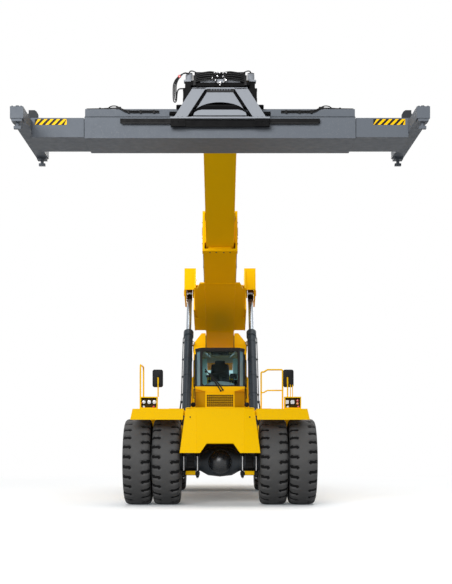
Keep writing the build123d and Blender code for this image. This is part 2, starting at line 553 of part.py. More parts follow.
def cab_shell():
    """The cab's frame: floor, roof, pillars and rear wall, with every window cut right through."""
    shell = plan_plate(cab_outline(0), CAB_FLOOR, CAB_ROOF) - plan_plate(cab_outline(CAB_WALL), CAB_FLOOR + 60,
                                                                          CAB_ROOF - 70)
    for opening in cab_openings(0, 3 * CAB_WALL, CAB_WALL / 2):
        shell -= opening
    for _, s in SIDES:
        shell -= block(s * (CAB_HALF - 2 * CAB_WALL), s * (CAB_HALF + 10), DOOR_Y0, DOOR_Y1, DOOR_Z0, DOOR_Z1)
        shell = join([shell] + hinge_lugs(s, CAB_HALF - 5, CAB_HINGE_X, CAB_HINGE_Y, DOOR_Z0, DOOR_Z1))
    return shell


def cab_glass():
    """Fixed panes set in the middle of the cab's walls."""
    return solids_of(cab_openings(RUN_GAP, 8, CAB_WALL / 2 - 5))


def door_window(side, gap, x0, x1):
    """The window of a cab door, its edges drawn in by the gap."""
    return block(side * x0, side * x1, DOOR_Y0 + 70 + gap, DOOR_Y1 - 70 - gap, CAB_SILL - 180 + gap,
                 DOOR_Z1 - 60 - gap)


def cab_door(side):
    """A door with its window cut; it closes over the opening from outside."""
    x0, x1 = CAB_HALF + DOOR_GAP, CAB_HALF + DOOR_GAP + DOOR_LEAF
    leaf = block(side * x0, side * x1, DOOR_Y0 - DOOR_LAP, DOOR_Y1 + DOOR_LAP, DOOR_Z0 - DOOR_LAP, DOOR_Z1 + DOOR_LAP)
    pin = rod_z(HINGE_PIN, side * CAB_HINGE_X, CAB_HINGE_Y, DOOR_Z0 - 45, DOOR_Z1 + 45)
    return join([leaf - door_window(side, 0, x0 - 5, x1 + 5), pin])


def hinge_lugs(side, x_in, x_pin, y_pin, z0, z1):
    """Two plates outside the ends of a door, bored for its hinge pin."""
    lugs = [block(side * x_in, side * (x_pin + 18), y_pin - 20, y_pin + 22, z, z + 14) for z in (z0 - 41, z1 + 27)]
    return [lug - rod_z(HINGE_PIN + PIN_GAP, side * x_pin, y_pin, z0 - 100, z1 + 100) for lug in lugs]


def door_glass(side):
    """The pane in the middle of a cab door."""
    middle = CAB_HALF + DOOR_GAP + DOOR_LEAF / 2
    return door_window(side, RUN_GAP, middle - 4, middle + 4)


def cab_base():
    """The pedestal under the cab: a nose with slanted corners under a brow, and a grille of square holes."""
    top, half, low = CAB_FLOOR - RUN_GAP, CAB_HALF + 4, DECK_Z - DECK_THICK + SEAT
    front, back = CAB_FRONT - 140, CAB_FRONT + CAB_NOSE_DEPTH + 30
    face_half = 332
    body = block(-420, 420, CAB_FRONT + 60, CAB_REAR - 60, MEMBER_TOP + 240, top)
    nose = plan_plate([(-face_half, front), (face_half, front), (half, front + 230), (half, back), (-half, back),
                       (-half, front + 230)], low, CAB_SILL - 40)
    brow = front_plate([(-half, CAB_SILL), (half, CAB_SILL), (half, CAB_SILL - 45), (face_half, CAB_SILL - 125),
                        (-face_half, CAB_SILL - 125), (-half, CAB_SILL - 45)], front - 12, back)
    nose = join([nose, brow]) - plan_plate(cab_outline(-RUN_GAP), top, CAB_SILL + 10)
    for column in range(GRILLE_COLUMNS):
        for row in range(GRILLE_ROWS):
            x = (column - (GRILLE_COLUMNS - 1) / 2) * GRILLE_PITCH_X
            z = GRILLE_Z + (row - (GRILLE_ROWS - 1) / 2) * GRILLE_PITCH_Z
            nose -= Pos(x, front + 20, z) * Box(GRILLE_HOLE, 60, GRILLE_HOLE)
    legs = []
    for _, s in SIDES:
        for y in (CAB_FRONT + 150, CAB_REAR - 500):
            legs.append(block(s * 400, s * (MEMBER_OUT - 70), y, y + 120, MEMBER_TOP + 240, top))
            legs.append(block(s * MEMBER_IN, s * (MEMBER_OUT - 70), y, y + 120, MEMBER_TOP + SEAT, top))
    return join([body, nose] + legs)


def operator_seat():
    """A sprung seat: pedestal, cushion and a back that leans, with rounded edges."""
    y = CAB_REAR - 1050
    base = block(-200, 200, y - 180, y + 180, CAB_FLOOR + 60 + RUN_GAP, CAB_FLOOR + 400)
    cushion = fillet(block(-250, 250, y - 270, y + 240, CAB_FLOOR + 375, CAB_FLOOR + 505).edges(), 45)
    back = side_plate([(y + 140, CAB_FLOOR + 440), (y + 260, CAB_FLOOR + 420), (y + 370, CAB_FLOOR + 1080),
                       (y + 290, CAB_FLOOR + 1090)], -240, 240)
    return join([base, cushion, fillet(back.edges(), 30)])


def console():
    """Raked steering column with its wheel, and the control stand beside the seat."""
    floor, wheel_z, y = CAB_FLOOR + 60 + RUN_GAP, CAB_FLOOR + 740, CAB_FRONT + 420
    tilt = Pos(0, y, wheel_z) * Rot(X=-20)
    column = join([rod_z(60, 0, y - 40, floor, wheel_z - 130), tilt * rod_z(42, 0, 0, -190, -5),
                   tilt * Torus(180, 16), tilt * block(-180, 180, -20, 20, -15, 5)])
    stand = block(300, 440, y + 430, y + 930, floor, CAB_FLOOR + 640)
    return solids_of([column, fillet(stand.edges().group_by(Axis.Z)[-1], 25)])


# ---------------------------------------------------------------- boom


def boom_base():
    """The outer boom section: a plate box with pivot hubs, a collar and the lugs of the lift cylinders."""
    box = boom_block(-BOOM_HALF, BOOM_HALF, BOOM_REAR, BOOM_FRONT, BOOM_LOW, BOOM_HIGH)
    collar = boom_block(-BOOM_HALF - 22, BOOM_HALF + 22, BOOM_FRONT - 170, BOOM_FRONT - 10, BOOM_LOW - 22,
                        BOOM_HIGH + 22)
    hollow = boom_block(BOOM_WALL - BOOM_HALF, BOOM_HALF - BOOM_WALL, BOOM_REAR + BOOM_WALL, BOOM_FRONT + 10,
                        BOOM_LOW + BOOM_WALL, BOOM_HIGH - BOOM_WALL)
    low, top = LIFT_PIN_N - 330, LIFT_PIN_N + 420
    s0, s1 = LIFT_PIN_S - 420, LIFT_PIN_S + 620
    cheek_out, ear_out = LIFT_X - BARREL_RADIUS - GLAND_PROUD - 7, LUG_OUT + LUG_PLATE
    cheek_in = cheek_out - LUG_PLATE
    parts = []
    for _, s in SIDES:
        # the widened bottom plate
        wing = [(BOOM_HALF - 5, -2390), (WING_HALF, -3510), (WING_HALF - 25, -5170), (WING_HALF - 107, -5520),
                (BOOM_HALF - 5, -5520)]
        parts.append(plan_plate([(s * x, y) for x, y in wing], BOOM_LOW, BOOM_LOW + 30))
        parts.append(rod_x(200, s * (BOOM_HALF - 2), s * (BOOM_HALF + 32), 0, 0))
        # lift lugs: inner cheek, bridge, front plate and outer ear, open below so that the rod can swing
        parts.append(boom_plate([(s0 + 120, BOOM_LOW + 5), (s1 + 500, BOOM_LOW + 5), (s1, top), (s0, top)],
                                s * cheek_in, s * cheek_out))
        parts.append(boom_plate([(s0 + 150, low + 60), (s1 - 250, low + 60), (s1, low + 170), (s1, top), (s0, top),
                                 (s0, low + 300)], s * LUG_OUT, s * ear_out))
        parts.append(boom_block(s * cheek_in, s * (LUG_OUT + 5), s0, s1, top - 60, top))
        parts.append(boom_block(s * cheek_in, s * (LUG_OUT + 5), s1 - 30, s1, low + 170, top))
        for n in (BOOM_LOW, BOOM_HIGH - 30):
            parts.append(boom_block(s * (BOOM_HALF - 5), s * (cheek_in + 5), s0 + 150, s1 - 50, n, n + 30))
        parts.append(rod_x(EYE_RADIUS, s * (cheek_out - 5), s * LUG_IN, -LIFT_PIN_S, LIFT_PIN_N))
        parts.append(rod_x(75, s * LUG_OUT, s * (ear_out + 30), -LIFT_PIN_S, LIFT_PIN_N))
    body = join([box, collar] + parts) - hollow
    for _, s in SIDES:
        body -= rod_x(BOOM_PIN + PIN_GAP, s * (BOOM_HALF - BOOM_WALL - 5), s * (BOOM_HALF + 40), 0, 0)
    # wear pads round the mouth of the section
    pad0, pad1 = BOOM_FRONT - 260, BOOM_FRONT - 20
    pads = [boom_block(50 - INNER_HALF, INNER_HALF - 50, pad0, pad1, n0, n1)
            for n0, n1 in ((BOOM_LOW + BOOM_WALL - 2, INNER_LOW - RUN_GAP),
                           (INNER_HIGH + RUN_GAP, BOOM_HIGH - BOOM_WALL + 2))]
    pads += [boom_block(s * (INNER_HALF + RUN_GAP), s * (BOOM_HALF - BOOM_WALL + 2), pad0, pad1, INNER_LOW + 110,
                        INNER_HIGH - 110) for _, s in SIDES]
    return BOOM_PLACE * join([body] + pads)


def boom_inner():
    """The sliding section with its gooseneck nose, which ends in the head eye."""
    box = boom_block(-INNER_HALF, INNER_HALF, INNER_REAR, NOSE_START + 20, INNER_LOW, INNER_HIGH)
    box -= boom_block(-INNER_HALF + INNER_WALL, INNER_HALF - INNER_WALL, INNER_REAR - 10, NOSE_START - 60,
                      INNER_LOW + INNER_WALL, INNER_HIGH - INNER_WALL)
    nose = boom_plate([(NOSE_START, INNER_HIGH), (NOSE_START + 1050, INNER_HIGH - 500), (HEAD_S - 360, HEAD_N + 495),
                       (HEAD_S + 60, HEAD_N + HEAD_RADIUS - 8), (HEAD_S + 100, HEAD_N), (HEAD_S - 150, HEAD_N + 62),
                       (HEAD_S - 309, HEAD_N + 316), (HEAD_S - 620, HEAD_N + 385), (HEAD_S - 960, HEAD_N + 420),
                       (NOSE_START, INNER_LOW)], -INNER_HALF, INNER_HALF)
    taper = plan_plate([(-INNER_HALF, -NOSE_START + 10), (INNER_HALF, -NOSE_START + 10),
                        (INNER_HALF, -HEAD_S + 800), (HEAD_HALF, -HEAD_S + 500), (HEAD_HALF, -HEAD_S - 300),
                        (-HEAD_HALF, -HEAD_S - 300), (-HEAD_HALF, -HEAD_S + 500), (-INNER_HALF, -HEAD_S + 800)],
                       -1600, 600)
    nose = nose & taper
    head = rod_x(HEAD_RADIUS, -HEAD_HALF, HEAD_HALF, -HEAD_S, HEAD_N)
    parts = [box, nose, head]
    # wear pads round the section's tail, inside the base section
    for n0, n1 in ((BOOM_LOW + BOOM_WALL + RUN_GAP, INNER_LOW + 2), (INNER_HIGH - 2, BOOM_HIGH - BOOM_WALL - RUN_GAP)):
        parts.append(boom_block(50 - INNER_HALF, INNER_HALF - 50, INNER_REAR, INNER_REAR + 240, n0, n1))
    for _, s in SIDES:
        parts.append(boom_block(s * (INNER_HALF - 2), s * (BOOM_HALF - BOOM_WALL - RUN_GAP), INNER_REAR,
                                INNER_REAR + 240, INNER_LOW + 110, INNER_HIGH - 110))
    body = join(parts) - rod_x(HEAD_PIN + PIN_GAP, -HEAD_HALF - 5, HEAD_HALF + 5, -HEAD_S, HEAD_N)
    return BOOM_PLACE * body


# ---------------------------------------------------------------- lift cylinders


def along_cylinder(shape, side):
    """Places a shape made along +Z from the base pin onto a lift cylinder."""
    return Pos(side * LIFT_X, LIFT_BASE_Y, LIFT_BASE_Z) * Rot(X=-(90 - LIFT_ANGLE)) * shape


def lift_barrel(side):
    """A lift cylinder's tube with its gland collar and base eye, bored for the piston and the rod."""
    tube = Pos(0, 0, (BARREL_LENGTH + 150) / 2) * Cylinder(BARREL_RADIUS, BARREL_LENGTH - 150)
    collar = Pos(0, 0, BARREL_LENGTH - 85) * Cylinder(BARREL_RADIUS + GLAND_PROUD, 170)
    bore = Pos(0, 0, (BARREL_LENGTH + 250) / 2 - 60) * Cylinder(BORE_RADIUS, BARREL_LENGTH - 370)
    mouth = Pos(0, 0, BARREL_LENGTH - 100) * Cylinder(ROD_RADIUS + RUN_GAP, 400)
    eye = rod_x(EYE_RADIUS, -EYE_WIDTH / 2, EYE_WIDTH / 2, 0, 0)
    neck = Pos(0, 0, 110) * Box(EYE_WIDTH, 160, 140)
    body = join([tube, collar, eye, neck]) - bore - mouth
    body -= rod_x(LIFT_PIN + PIN_GAP, -EYE_WIDTH, EYE_WIDTH, 0, 0)
    return along_cylinder(body, side)


def lift_rod(side):
    """A lift cylinder's rod with its piston and its eye."""
    eye = rod_x(EYE_RADIUS, -EYE_WIDTH / 2, EYE_WIDTH / 2, 0, LIFT_LENGTH)
    rod = Pos(0, 0, LIFT_LENGTH - ROD_LENGTH / 2 - 40) * Cylinder(ROD_RADIUS, ROD_LENGTH - 80)
    piston = Pos(0, 0, LIFT_LENGTH - ROD_LENGTH + 60) * Cylinder(BORE_RADIUS - RUN_GAP, 120)
    return along_cylinder(join([eye, rod, piston]), side)


# ---------------------------------------------------------------- spreader


def head_yoke():
    """Hangs from the boom's head pin: cheeks, slewing base, front beam and the shelf with the two slew motors."""
    cheek0, cheek1 = HEAD_HALF + 15, HEAD_HALF + 75
    parts = [rod_x(HEAD_PIN, -HEAD_HALF - 20, HEAD_HALF + 20, 0, 0), rod_z(SLEW_RADIUS, 0, 0, SLEW_Z, SLEW_Z + 80)]
    for _, s in SIDES:
        parts.append(rod_x(150, s * cheek0, s * cheek1, 0, 0))
        parts.append(block(s * cheek0, s * cheek1, -150, 150, SLEW_Z + 10, 0))
        # arms that carry the front beam ahead of the head
        parts.append(block(s * cheek0, s * cheek1, -330, -100, 60, 125))
        parts.append(block(s * (cheek0 + 20), s * (cheek1 - 10), -290, -120, -80, 70))
        parts.append(block(s * (cheek1 - 5), s * (MOTOR_X + 94), -130, 130, -85, -50))
        parts.append(block(s * (cheek1 - 5), s * 330, -20, 20, -52, 60))
        parts.append(rod_z(MOTOR_RADIUS, s * MOTOR_X, 0, -52, 215))
        parts.append(rod_z(MOTOR_RADIUS + 22, s * MOTOR_X, 0, -52, -35))
    parts.append(block(-300, 300, -330, -262, 62, 122))
    return Pos(0, HEAD_Y, HEAD_Z) * join(parts)


def turret():
    """The slewing carriage: ring plate, two raked A-frames and the shoes that ride on the spreader's rails."""
    ring = rod_z(SLEW_RADIUS + 10, 0, 0, SLEW_Z - 70, SLEW_Z - RUN_GAP)
    saddle = block(-660, 660, -430, 430, TOP_BOX_TOP + RUN_GAP - HEAD_Z, SLEW_Z - 65)
    parts = [ring, saddle]
    rail_out, rail_low, rail_top = TUNNEL_OUT + RAIL_PROUD, RAIL_LOW - HEAD_Z, RAIL_TOP - HEAD_Z
    top_z, low_z, top_y, low_y = FRAME_TOP, rail_low + 18, 350, rail_out + 32
    lean = math.degrees(math.atan2(low_y - top_y, top_z - low_z))
    # one A-frame, upright: legs, top bar, web with its arch, sill and foot flange
    sheet = [front_plate([(s * x, z) for x, z in ((410, top_z), (225, top_z), (490, low_z), (672, low_z))], -15, 15)
             for _, s in SIDES]
    sheet.append(front_plate([(-410, top_z), (410, top_z), (425, top_z - 60), (-425, top_z - 60)], -15, 15))
    web = front_plate([(-330, top_z - 50), (330, top_z - 50), (470, low_z + 110), (-470, low_z + 110)], -5, 5)
    sheet.append(web - Pos(0, 0, ARCH_Z) * extrude(Plane.XZ * Ellipse(ARCH_HALF, ARCH_RISE), amount=20, both=True))
    sheet.append(front_plate([(-420, ARCH_Z), (420, ARCH_Z), (300, ARCH_Z + 105), (-300, ARCH_Z + 105)], -12, 5))
    sheet.append(block(-TURRET_HALF - 20, TURRET_HALF + 20, -25, 15, ARCH_Z - 45, ARCH_Z + 5))
    front = join(sheet)
    for _, f in SIDES:
        place = Pos(0, f * top_y, top_z) * Rot(X=f * lean) * Pos(0, 0, -top_z)
        if f < 0:
            parts.append(place * front)
        else:
            parts.append(place * mirror(front, about=Plane.XZ)
                         - block(-TURRET_HALF, TURRET_HALF, 0, TURRET_HALF, FRAME_TOP - REAR_DROP, FRAME_TOP + 60))
        parts.append(block(-TURRET_HALF, TURRET_HALF, f * (rail_out + 2), f * (rail_out + 35), rail_low - 72,
                           rail_top + 1))
        for _, s in SIDES:
            parts.append(block(s * 520, s * TURRET_HALF, f * (rail_out + RUN_GAP), f * (rail_out + 70),
                               rail_low - 72, rail_top - 22))
            parts.append(block(s * 440, s * 560, f * 210, f * 330, -300, FRAME_TOP - 7))
            parts.append(block(s * 440, s * 560, f * 225, f * 430, SLEW_Z - 95, -290))
        parts.append(block(-650, 650, f * 395, f * 470, SLEW_Z - 95, SLEW_Z - 70))
    return Pos(0, HEAD_Y, HEAD_Z) * join(parts)


def spreader_frame():
    """The fixed frame: two tunnels side by side under a top box, with the side-shift rails."""
    parts = [block(-SPREADER_HALF, SPREADER_HALF, -TOP_BOX_HALF, TOP_BOX_HALF, TUNNEL_TOP - 2, TOP_BOX_TOP)]
    tunnel = block(-SPREADER_HALF, SPREADER_HALF, -TUNNEL_OUT, TUNNEL_OUT, TUNNEL_LOW, TUNNEL_TOP)
    rail_half = TURRET_HALF + SIDE_SHIFT - 40
    for _, f in SIDES:
        tunnel -= block(-SPREADER_HALF - 5, SPREADER_HALF + 5, f * TUNNEL_MID, f * (TUNNEL_OUT - TUNNEL_WALL),
                        TUNNEL_LOW + TUNNEL_WALL, TUNNEL_TOP - TUNNEL_WALL)
        parts.append(block(-rail_half, rail_half, f * (TUNNEL_OUT - 2), f * (TUNNEL_OUT + RAIL_PROUD), RAIL_LOW,
                           RAIL_TOP))
    return Pos(0, HEAD_Y, 0) * join([tunnel] + parts)


def spreader_beam(side):
    """A telescopic beam with its full-width head box, the end beam, two flipper brackets and two twistlocks."""
    s, f = side, -side
    inner_end = SPREADER_HALF - BEAM_OVERLAP - BEAM_TRAVEL
    end0, end1 = CORNER_X - 96.5, CORNER_X + 93.5
    wall = TUNNEL_OUT - TUNNEL_WALL
    beam = block(s * inner_end, s * (SPREADER_HALF + 60), f * (TUNNEL_MID + 25), f * (wall - 25), TUNNEL_LOW + 40,
                 TUNNEL_TOP - 40)
    pad = block(s * inner_end, s * (inner_end + 250), f * (TUNNEL_MID + RUN_GAP), f * (wall - RUN_GAP),
                TUNNEL_LOW + TUNNEL_WALL + RUN_GAP, TUNNEL_TOP - TUNNEL_WALL - RUN_GAP)
    head = block(s * (SPREADER_HALF + 10), s * (end0 + 10), -TUNNEL_OUT + 20, TUNNEL_OUT - 20, TUNNEL_LOW + 20,
                 TUNNEL_TOP - 10)
    end = block(s * end0, s * end1, -END_BEAM_HALF_Y, END_BEAM_HALF_Y, TUNNEL_LOW + 90, TUNNEL_LOW + 260)
    parts = [beam, pad, head, end]
    # flipper brackets, as distance from the end beam's inner side and height: an upright with a rounded shoulder
    # and a brace that leans outwards
    bracket = [(-90, 300), (-90, 365), (-65, 410), (-35, 430), (55, 430), (55, 385), (110, 282), (110, 250),
               (10, 250), (10, 300)]
    for y in (-TUNNEL_OUT + 30, TUNNEL_OUT - 60):
        parts.append(front_plate([(s * (end0 + x), TUNNEL_LOW + z) for x, z in bracket], y, y + 30))
    parts.append(rod_y(22, s * (end0 + 10), -TUNNEL_OUT + 40, TUNNEL_OUT - 40, TUNNEL_LOW + 395))
    for y in (-CORNER_Y, CORNER_Y):
        parts.append(block(s * (CORNER_X - 76), s * (CORNER_X + 76), y - 80, y + 80, TUNNEL_LOW + 50, TUNNEL_LOW + 95))
        parts.append(rod_z(TWISTLOCK_SHANK, s * CORNER_X, y, TUNNEL_LOW - 35, TUNNEL_LOW + 55))
        parts.append(Pos(s * CORNER_X, y, TUNNEL_LOW - 25) * Box(*TWISTLOCK_HEAD))
    return Pos(0, HEAD_Y, 0) * join(parts)


# ---------------------------------------------------------------- all nodes


def build():
    """Every node by its name."""
    nodes = {}
    nodes["chassis_frame"] = chassis_frame()
    nodes["front_fascia"] = front_fascia()
    nodes["front_axle"] = front_axle()
    nodes["axle_clamps"] = axle_clamps()
    nodes["steer_axle"] = steer_axle()
    nodes["lamp_boxes"] = lamp_boxes()
    nodes["handrails"] = handrails()
    nodes["mirrors"] = mirrors()
    nodes["access_ladders"] = access_ladders()
    nodes["fuel_tank"] = side_tank(1)
    nodes["hydraulic_tank"] = side_tank(-1)
    nodes["engine_block"] = engine_block()
    nodes["cooler_hood"] = cooler_hood()
    nodes["counterweight"] = counterweight()
    nodes["cab_base"] = cab_base()
    nodes["cab_shell"] = cab_shell()
    nodes["cab_glass"] = cab_glass()
    nodes["operator_seat"] = operator_seat()
    nodes["console"] = console()
    nodes["boom_base"] = boom_base()
    nodes["boom_inner"] = boom_inner()
    nodes["head_yoke"] = head_yoke()
    nodes["turret"] = turret()
    nodes["spreader_frame"] = spreader_frame()
    for (side, s), stub in zip(SIDES, twin(knuckle())):
        nodes["deck_" + side] = deck(s)
        nodes["service_door_" + side] = service_door(s)
        nodes["cab_door_" + side] = cab_door(s)
        nodes["door_glass_" + side] = door_glass(s)
        nodes["lift_barrel_" + side] = lift_barrel(s)
        nodes["lift_rod_" + side] = lift_rod(s)
        nodes["spreader_beam_" + side] = spreader_beam(s)
        nodes["knuckle_" + side] = stub
    front_wheels(nodes)
    rear_wheels(nodes)
    return nodes


if __name__ == "__main__":
    os.makedirs("parts", exist_ok=True)
    for name, shape in build().items():
        shape.label = name
        export_step(shape, "parts/" + name + ".step")
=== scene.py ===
import bpy
import bmesh
import json
import math
from mathutils import Matrix, Vector


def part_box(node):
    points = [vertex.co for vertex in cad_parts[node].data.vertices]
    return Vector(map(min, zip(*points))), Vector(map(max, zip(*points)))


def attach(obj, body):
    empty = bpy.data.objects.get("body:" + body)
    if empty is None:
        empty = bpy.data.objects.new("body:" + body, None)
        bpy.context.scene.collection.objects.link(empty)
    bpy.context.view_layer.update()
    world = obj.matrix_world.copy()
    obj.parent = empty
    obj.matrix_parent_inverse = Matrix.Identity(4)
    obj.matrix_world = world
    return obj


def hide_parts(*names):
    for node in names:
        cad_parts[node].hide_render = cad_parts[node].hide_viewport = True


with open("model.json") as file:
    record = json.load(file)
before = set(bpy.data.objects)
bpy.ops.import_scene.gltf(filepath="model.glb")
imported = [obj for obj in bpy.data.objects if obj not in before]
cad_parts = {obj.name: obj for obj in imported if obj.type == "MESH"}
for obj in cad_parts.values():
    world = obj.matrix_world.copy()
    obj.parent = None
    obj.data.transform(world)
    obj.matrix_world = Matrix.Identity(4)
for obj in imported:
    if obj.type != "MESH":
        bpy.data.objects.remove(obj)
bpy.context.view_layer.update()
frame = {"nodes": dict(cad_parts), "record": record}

HALF_PI = math.pi / 2

# ---------------------------------------------------------------- camera, light and stage


def corners(node):
    """The lower and the upper corner of a CAD node's box."""
    return [Vector(corner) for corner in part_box(node)]


def lower_corner(node):
    return corners(node)[0]


def upper_corner(node):
    return corners(node)[1]


# the camera (it looks level, and its lens shift sets the horizon low), the floor and the surroundings
CAMERA_Y, CAMERA_Z = -24.64, 1.57
FOCAL_LENGTH, SENSOR_WIDTH, CLIP_END = 69.4, 36.0, 400.0
SHIFT_X, SHIFT_Y = 0.01027397, 0.24058219
FLOOR_REACH = 160.0
FLOOR_FADE = (9.0, 17.0)      # distances from the origin between which the floor turns white
FLOOR_LIT, FLOOR_SEEN = (0.30, 0.30, 0.30), (0.96, 0.96, 0.96)
WORLD_LIGHT, WORLD_STRENGTH = (0.97, 0.985, 1.0), 0.33
WHITE = (1.0, 1.0, 1.0)


def add_object(name, data, place=(0.0, 0.0, 0.0), turn=(0.0, 0.0, 0.0)):
    """An object made from its data and put into the scene."""
    made = bpy.data.objects.new(name, data)
    made.location, made.rotation_euler = place, turn
    bpy.context.scene.collection.objects.link(made)
    return made


def add_camera():
    data = bpy.data.cameras.new("camera")
    data.lens, data.sensor_width, data.clip_end = FOCAL_LENGTH, SENSOR_WIDTH, CLIP_END
    data.sensor_fit = "AUTO"
    data.shift_x, data.shift_y = SHIFT_X, SHIFT_Y
    bpy.context.scene.camera = add_object("camera", data, (0.0, CAMERA_Y, CAMERA_Z), (HALF_PI, 0.0, 0.0))


def add_area(name, place, target, size, power):
    data = bpy.data.lights.new(name, "AREA")
    data.shape = "RECTANGLE"
    data.size, data.size_y = size
    data.energy = power
    add_object(name, data, place, (Vector(target) - Vector(place)).to_track_quat("-Z", "Y").to_euler())


class Shading:
    """The nodes of one material or world; add makes a node and gives back its outputs."""

    def __init__(self, tree):
        self.nodes, self.links = tree.nodes, tree.links

    def put(self, socket, value):
        """Feeds a socket with another socket, a number, a colour or a vector."""
        if isinstance(value, bpy.types.NodeSocket):
            self.links.new(value, socket)
        elif socket.type == "RGBA":
            socket.default_value = (*value, 1.0)
        else:
            socket.default_value = value

    def add(self, kind, inputs, **settings):
        node = self.nodes.new("ShaderNode" + kind)
        for setting, value in settings.items():
            setattr(node, setting, value)
        for key, value in inputs.items():
            self.put(node.inputs[key], value)
        return node.outputs

    def maths(self, operation, a, b):
        return self.add("Math", {0: a, 1: b}, operation=operation)[0]

    def mixed(self, factor, a, b):
        return self.add("Mix", {"Factor": factor, "A": a, "B": b}, data_type="RGBA")["Result"]

    def ranged(self, value, low, high, to_low=0.0, to_high=1.0):
        return self.add("MapRange", {"Value": value, "From Min": low, "From Max": high, "To Min": to_low,
                                     "To Max": to_high})[0]

    def seen(self):
        """1 on the rays that see the backdrop: camera, glossy and transmission rays."""
        path = self.add("LightPath", {})
        either = self.maths("MAXIMUM", path["Is Camera Ray"], path["Is Glossy Ray"])
        return self.maths("MAXIMUM", either, path["Is Transmission Ray"])


def add_world():
    world = bpy.data.worlds.new("studio")
    bpy.context.scene.world = world
    world.use_nodes = True
    shading = Shading(world.node_tree)
    shading.nodes.clear()
    light = shading.add("Background", {"Color": WORLD_LIGHT, "Strength": WORLD_STRENGTH})
    white = shading.add("Background", {"Color": WHITE, "Strength": 1.0})
    mix = shading.add("MixShader", {0: shading.seen(), 1: light[0], 2: white[0]})
    shading.add("OutputWorld", {0: mix[0]})


def add_floor():
    mesh = bpy.data.meshes.new("floor")
    far = FLOOR_REACH
    mesh.from_pydata([(-far, -far, 0), (far, -far, 0), (far, far, 0), (-far, far, 0)], [], [(0, 1, 2, 3)])
    floor = add_object("floor", mesh)
    material = bpy.data.materials.new("studio_floor")
    material.use_nodes = True
    shading = Shading(material.node_tree)
    shading.nodes.clear()
    seen = shading.seen()
    diffuse = shading.add("BsdfDiffuse", {"Color": shading.mixed(seen, FLOOR_LIT, FLOOR_SEEN)})
    lift = shading.add("Emission", {"Color": (0.80, 0.93, 1.0),
                                    "Strength": shading.maths("MULTIPLY", seen, 0.10)})
    under = shading.add("AddShader", {0: diffuse[0], 1: lift[0]})
    # the floor turns into plain white away from the machine
    glow = shading.add("Emission", {"Strength": 1.0})
    coords = shading.add("TexCoord", {})["Object"]
    away = shading.ranged(shading.add("VectorMath", {0: coords}, operation="LENGTH")["Value"], *FLOOR_FADE)
    mix = shading.add("MixShader", {0: shading.maths("MULTIPLY", away, seen), 1: under[0], 2: glow[0]})
    shading.add("OutputMaterial", {0: mix[0]})
    mesh.materials.append(material)


add_camera()
add_world()
add_floor()
add_area("key_front", (-7.0, -26.0, 13.0), (0.0, 0.0, 3.5), (16.0, 10.0), 5700)
add_area("key_top", (2.0, 1.0, 22.0), (0.0, 1.0, 3.0), (16.0, 20.0), 2100)
add_area("side_left", (22.0, 2.0, 8.0), (0.0, 1.0, 3.0), (18.0, 8.0), 850)
add_area("side_right", (-22.0, 2.0, 8.0), (0.0, 1.0, 3.0), (18.0, 8.0), 850)
add_area("back", (4.0, 26.0, 11.0), (0.0, 2.0, 3.0), (16.0, 8.0), 1500)

# ---------------------------------------------------------------- materials


def scaled(colour, factor, more=0.0):
    return tuple(min(1.0, c * factor + more) for c in colour)


class Look(Shading):
    """A material with its shader, and its textures in the object's own coordinates."""

    def __init__(self, name):
        self.material = bpy.data.materials.new(name)
        self.material.use_nodes = True
        super().__init__(self.material.node_tree)
        self.shader = self.nodes["Principled BSDF"]
        self.coords = self.add("TexCoord", {})["Object"]

    def noise(self, scale, detail=4.0, roughness=0.55, stretch=None):
        source = self.coords
        if stretch:
            source = self.add("Mapping", {"Vector": source, "Scale": stretch})["Vector"]
        return self.add("TexNoise", {"Scale": scale, "Detail": detail, "Roughness": roughness,
                                     "Vector": source})["Fac"]

    def zone(self, lows, highs):
        """1 inside the box between the two corners, 0 outside it."""
        axes = self.add("SeparateXYZ", {0: self.coords})
        inside = None
        for axis, low, high in zip("XYZ", lows, highs):
            for operation, limit in (("GREATER_THAN", low), ("LESS_THAN", high)):
                if limit is None:
                    continue
                test = self.maths(operation, axes[axis], limit)
                inside = test if inside is None else self.maths("MULTIPLY", inside, test)
        return inside

    def finish(self, inputs, height=None, strength=0.0, distance=0.0):
        """Feeds the shader, and bumps it by the height if there is one."""
        if height:
            inputs["Normal"] = self.add("Bump", {"Strength": strength, "Distance": distance,
                                                 "Height": height})["Normal"]
        for key, value in inputs.items():
            self.put(self.shader.inputs[key], value)
        return self.material


def paint(name, colour, dirt, worn, rough=0.32, gloss=0.3, dirt_amount=0.5, wear=0.5, peel=0.05, zones=()):
    """Sprayed paint: faint orange peel, uneven gloss, dust that gathers low down, and rubbed edges."""
    look = Look(name)
    fine = look.noise(9.0, 6.0, 0.62)
    streak = look.noise(3.0, 4.0, 0.6, (3.0, 3.0, 0.35))
    base = look.mixed(look.ranged(look.noise(0.9, 5.0), 0.3, 0.7, 0.0, 0.16), colour,
                      scaled(colour, 1.12, 0.004))
    low = look.ranged(look.add("SeparateXYZ", {0: look.coords})["Z"], 0.2, 2.6, 1.0, 0.25)
    patches = look.ranged(fine, 0.5, 0.78, 0.0, dirt_amount)
    runs = look.ranged(streak, 0.55, 0.8, 0.0, dirt_amount * 0.6)
    base = look.mixed(look.maths("MULTIPLY", look.maths("MAXIMUM", patches, runs), low), base, dirt)
    edge = look.ranged(look.add("NewGeometry", {})["Pointiness"], 0.56, 0.66)
    chips = look.ranged(look.noise(42.0, 5.0, 0.7), 0.56, 0.62, 0.0, wear)
    base = look.mixed(look.maths("MULTIPLY", edge, chips), base, worn)
    for other, lows, highs in zones:
        base = look.mixed(look.zone(lows, highs), base, other)
    return look.finish({"Base Color": base, "Roughness": look.ranged(fine, 0.3, 0.75, rough - 0.05,
                                                                     rough + 0.16),
                        "Specular IOR Level": gloss}, look.noise(160.0, 2.0), peel, 0.002)


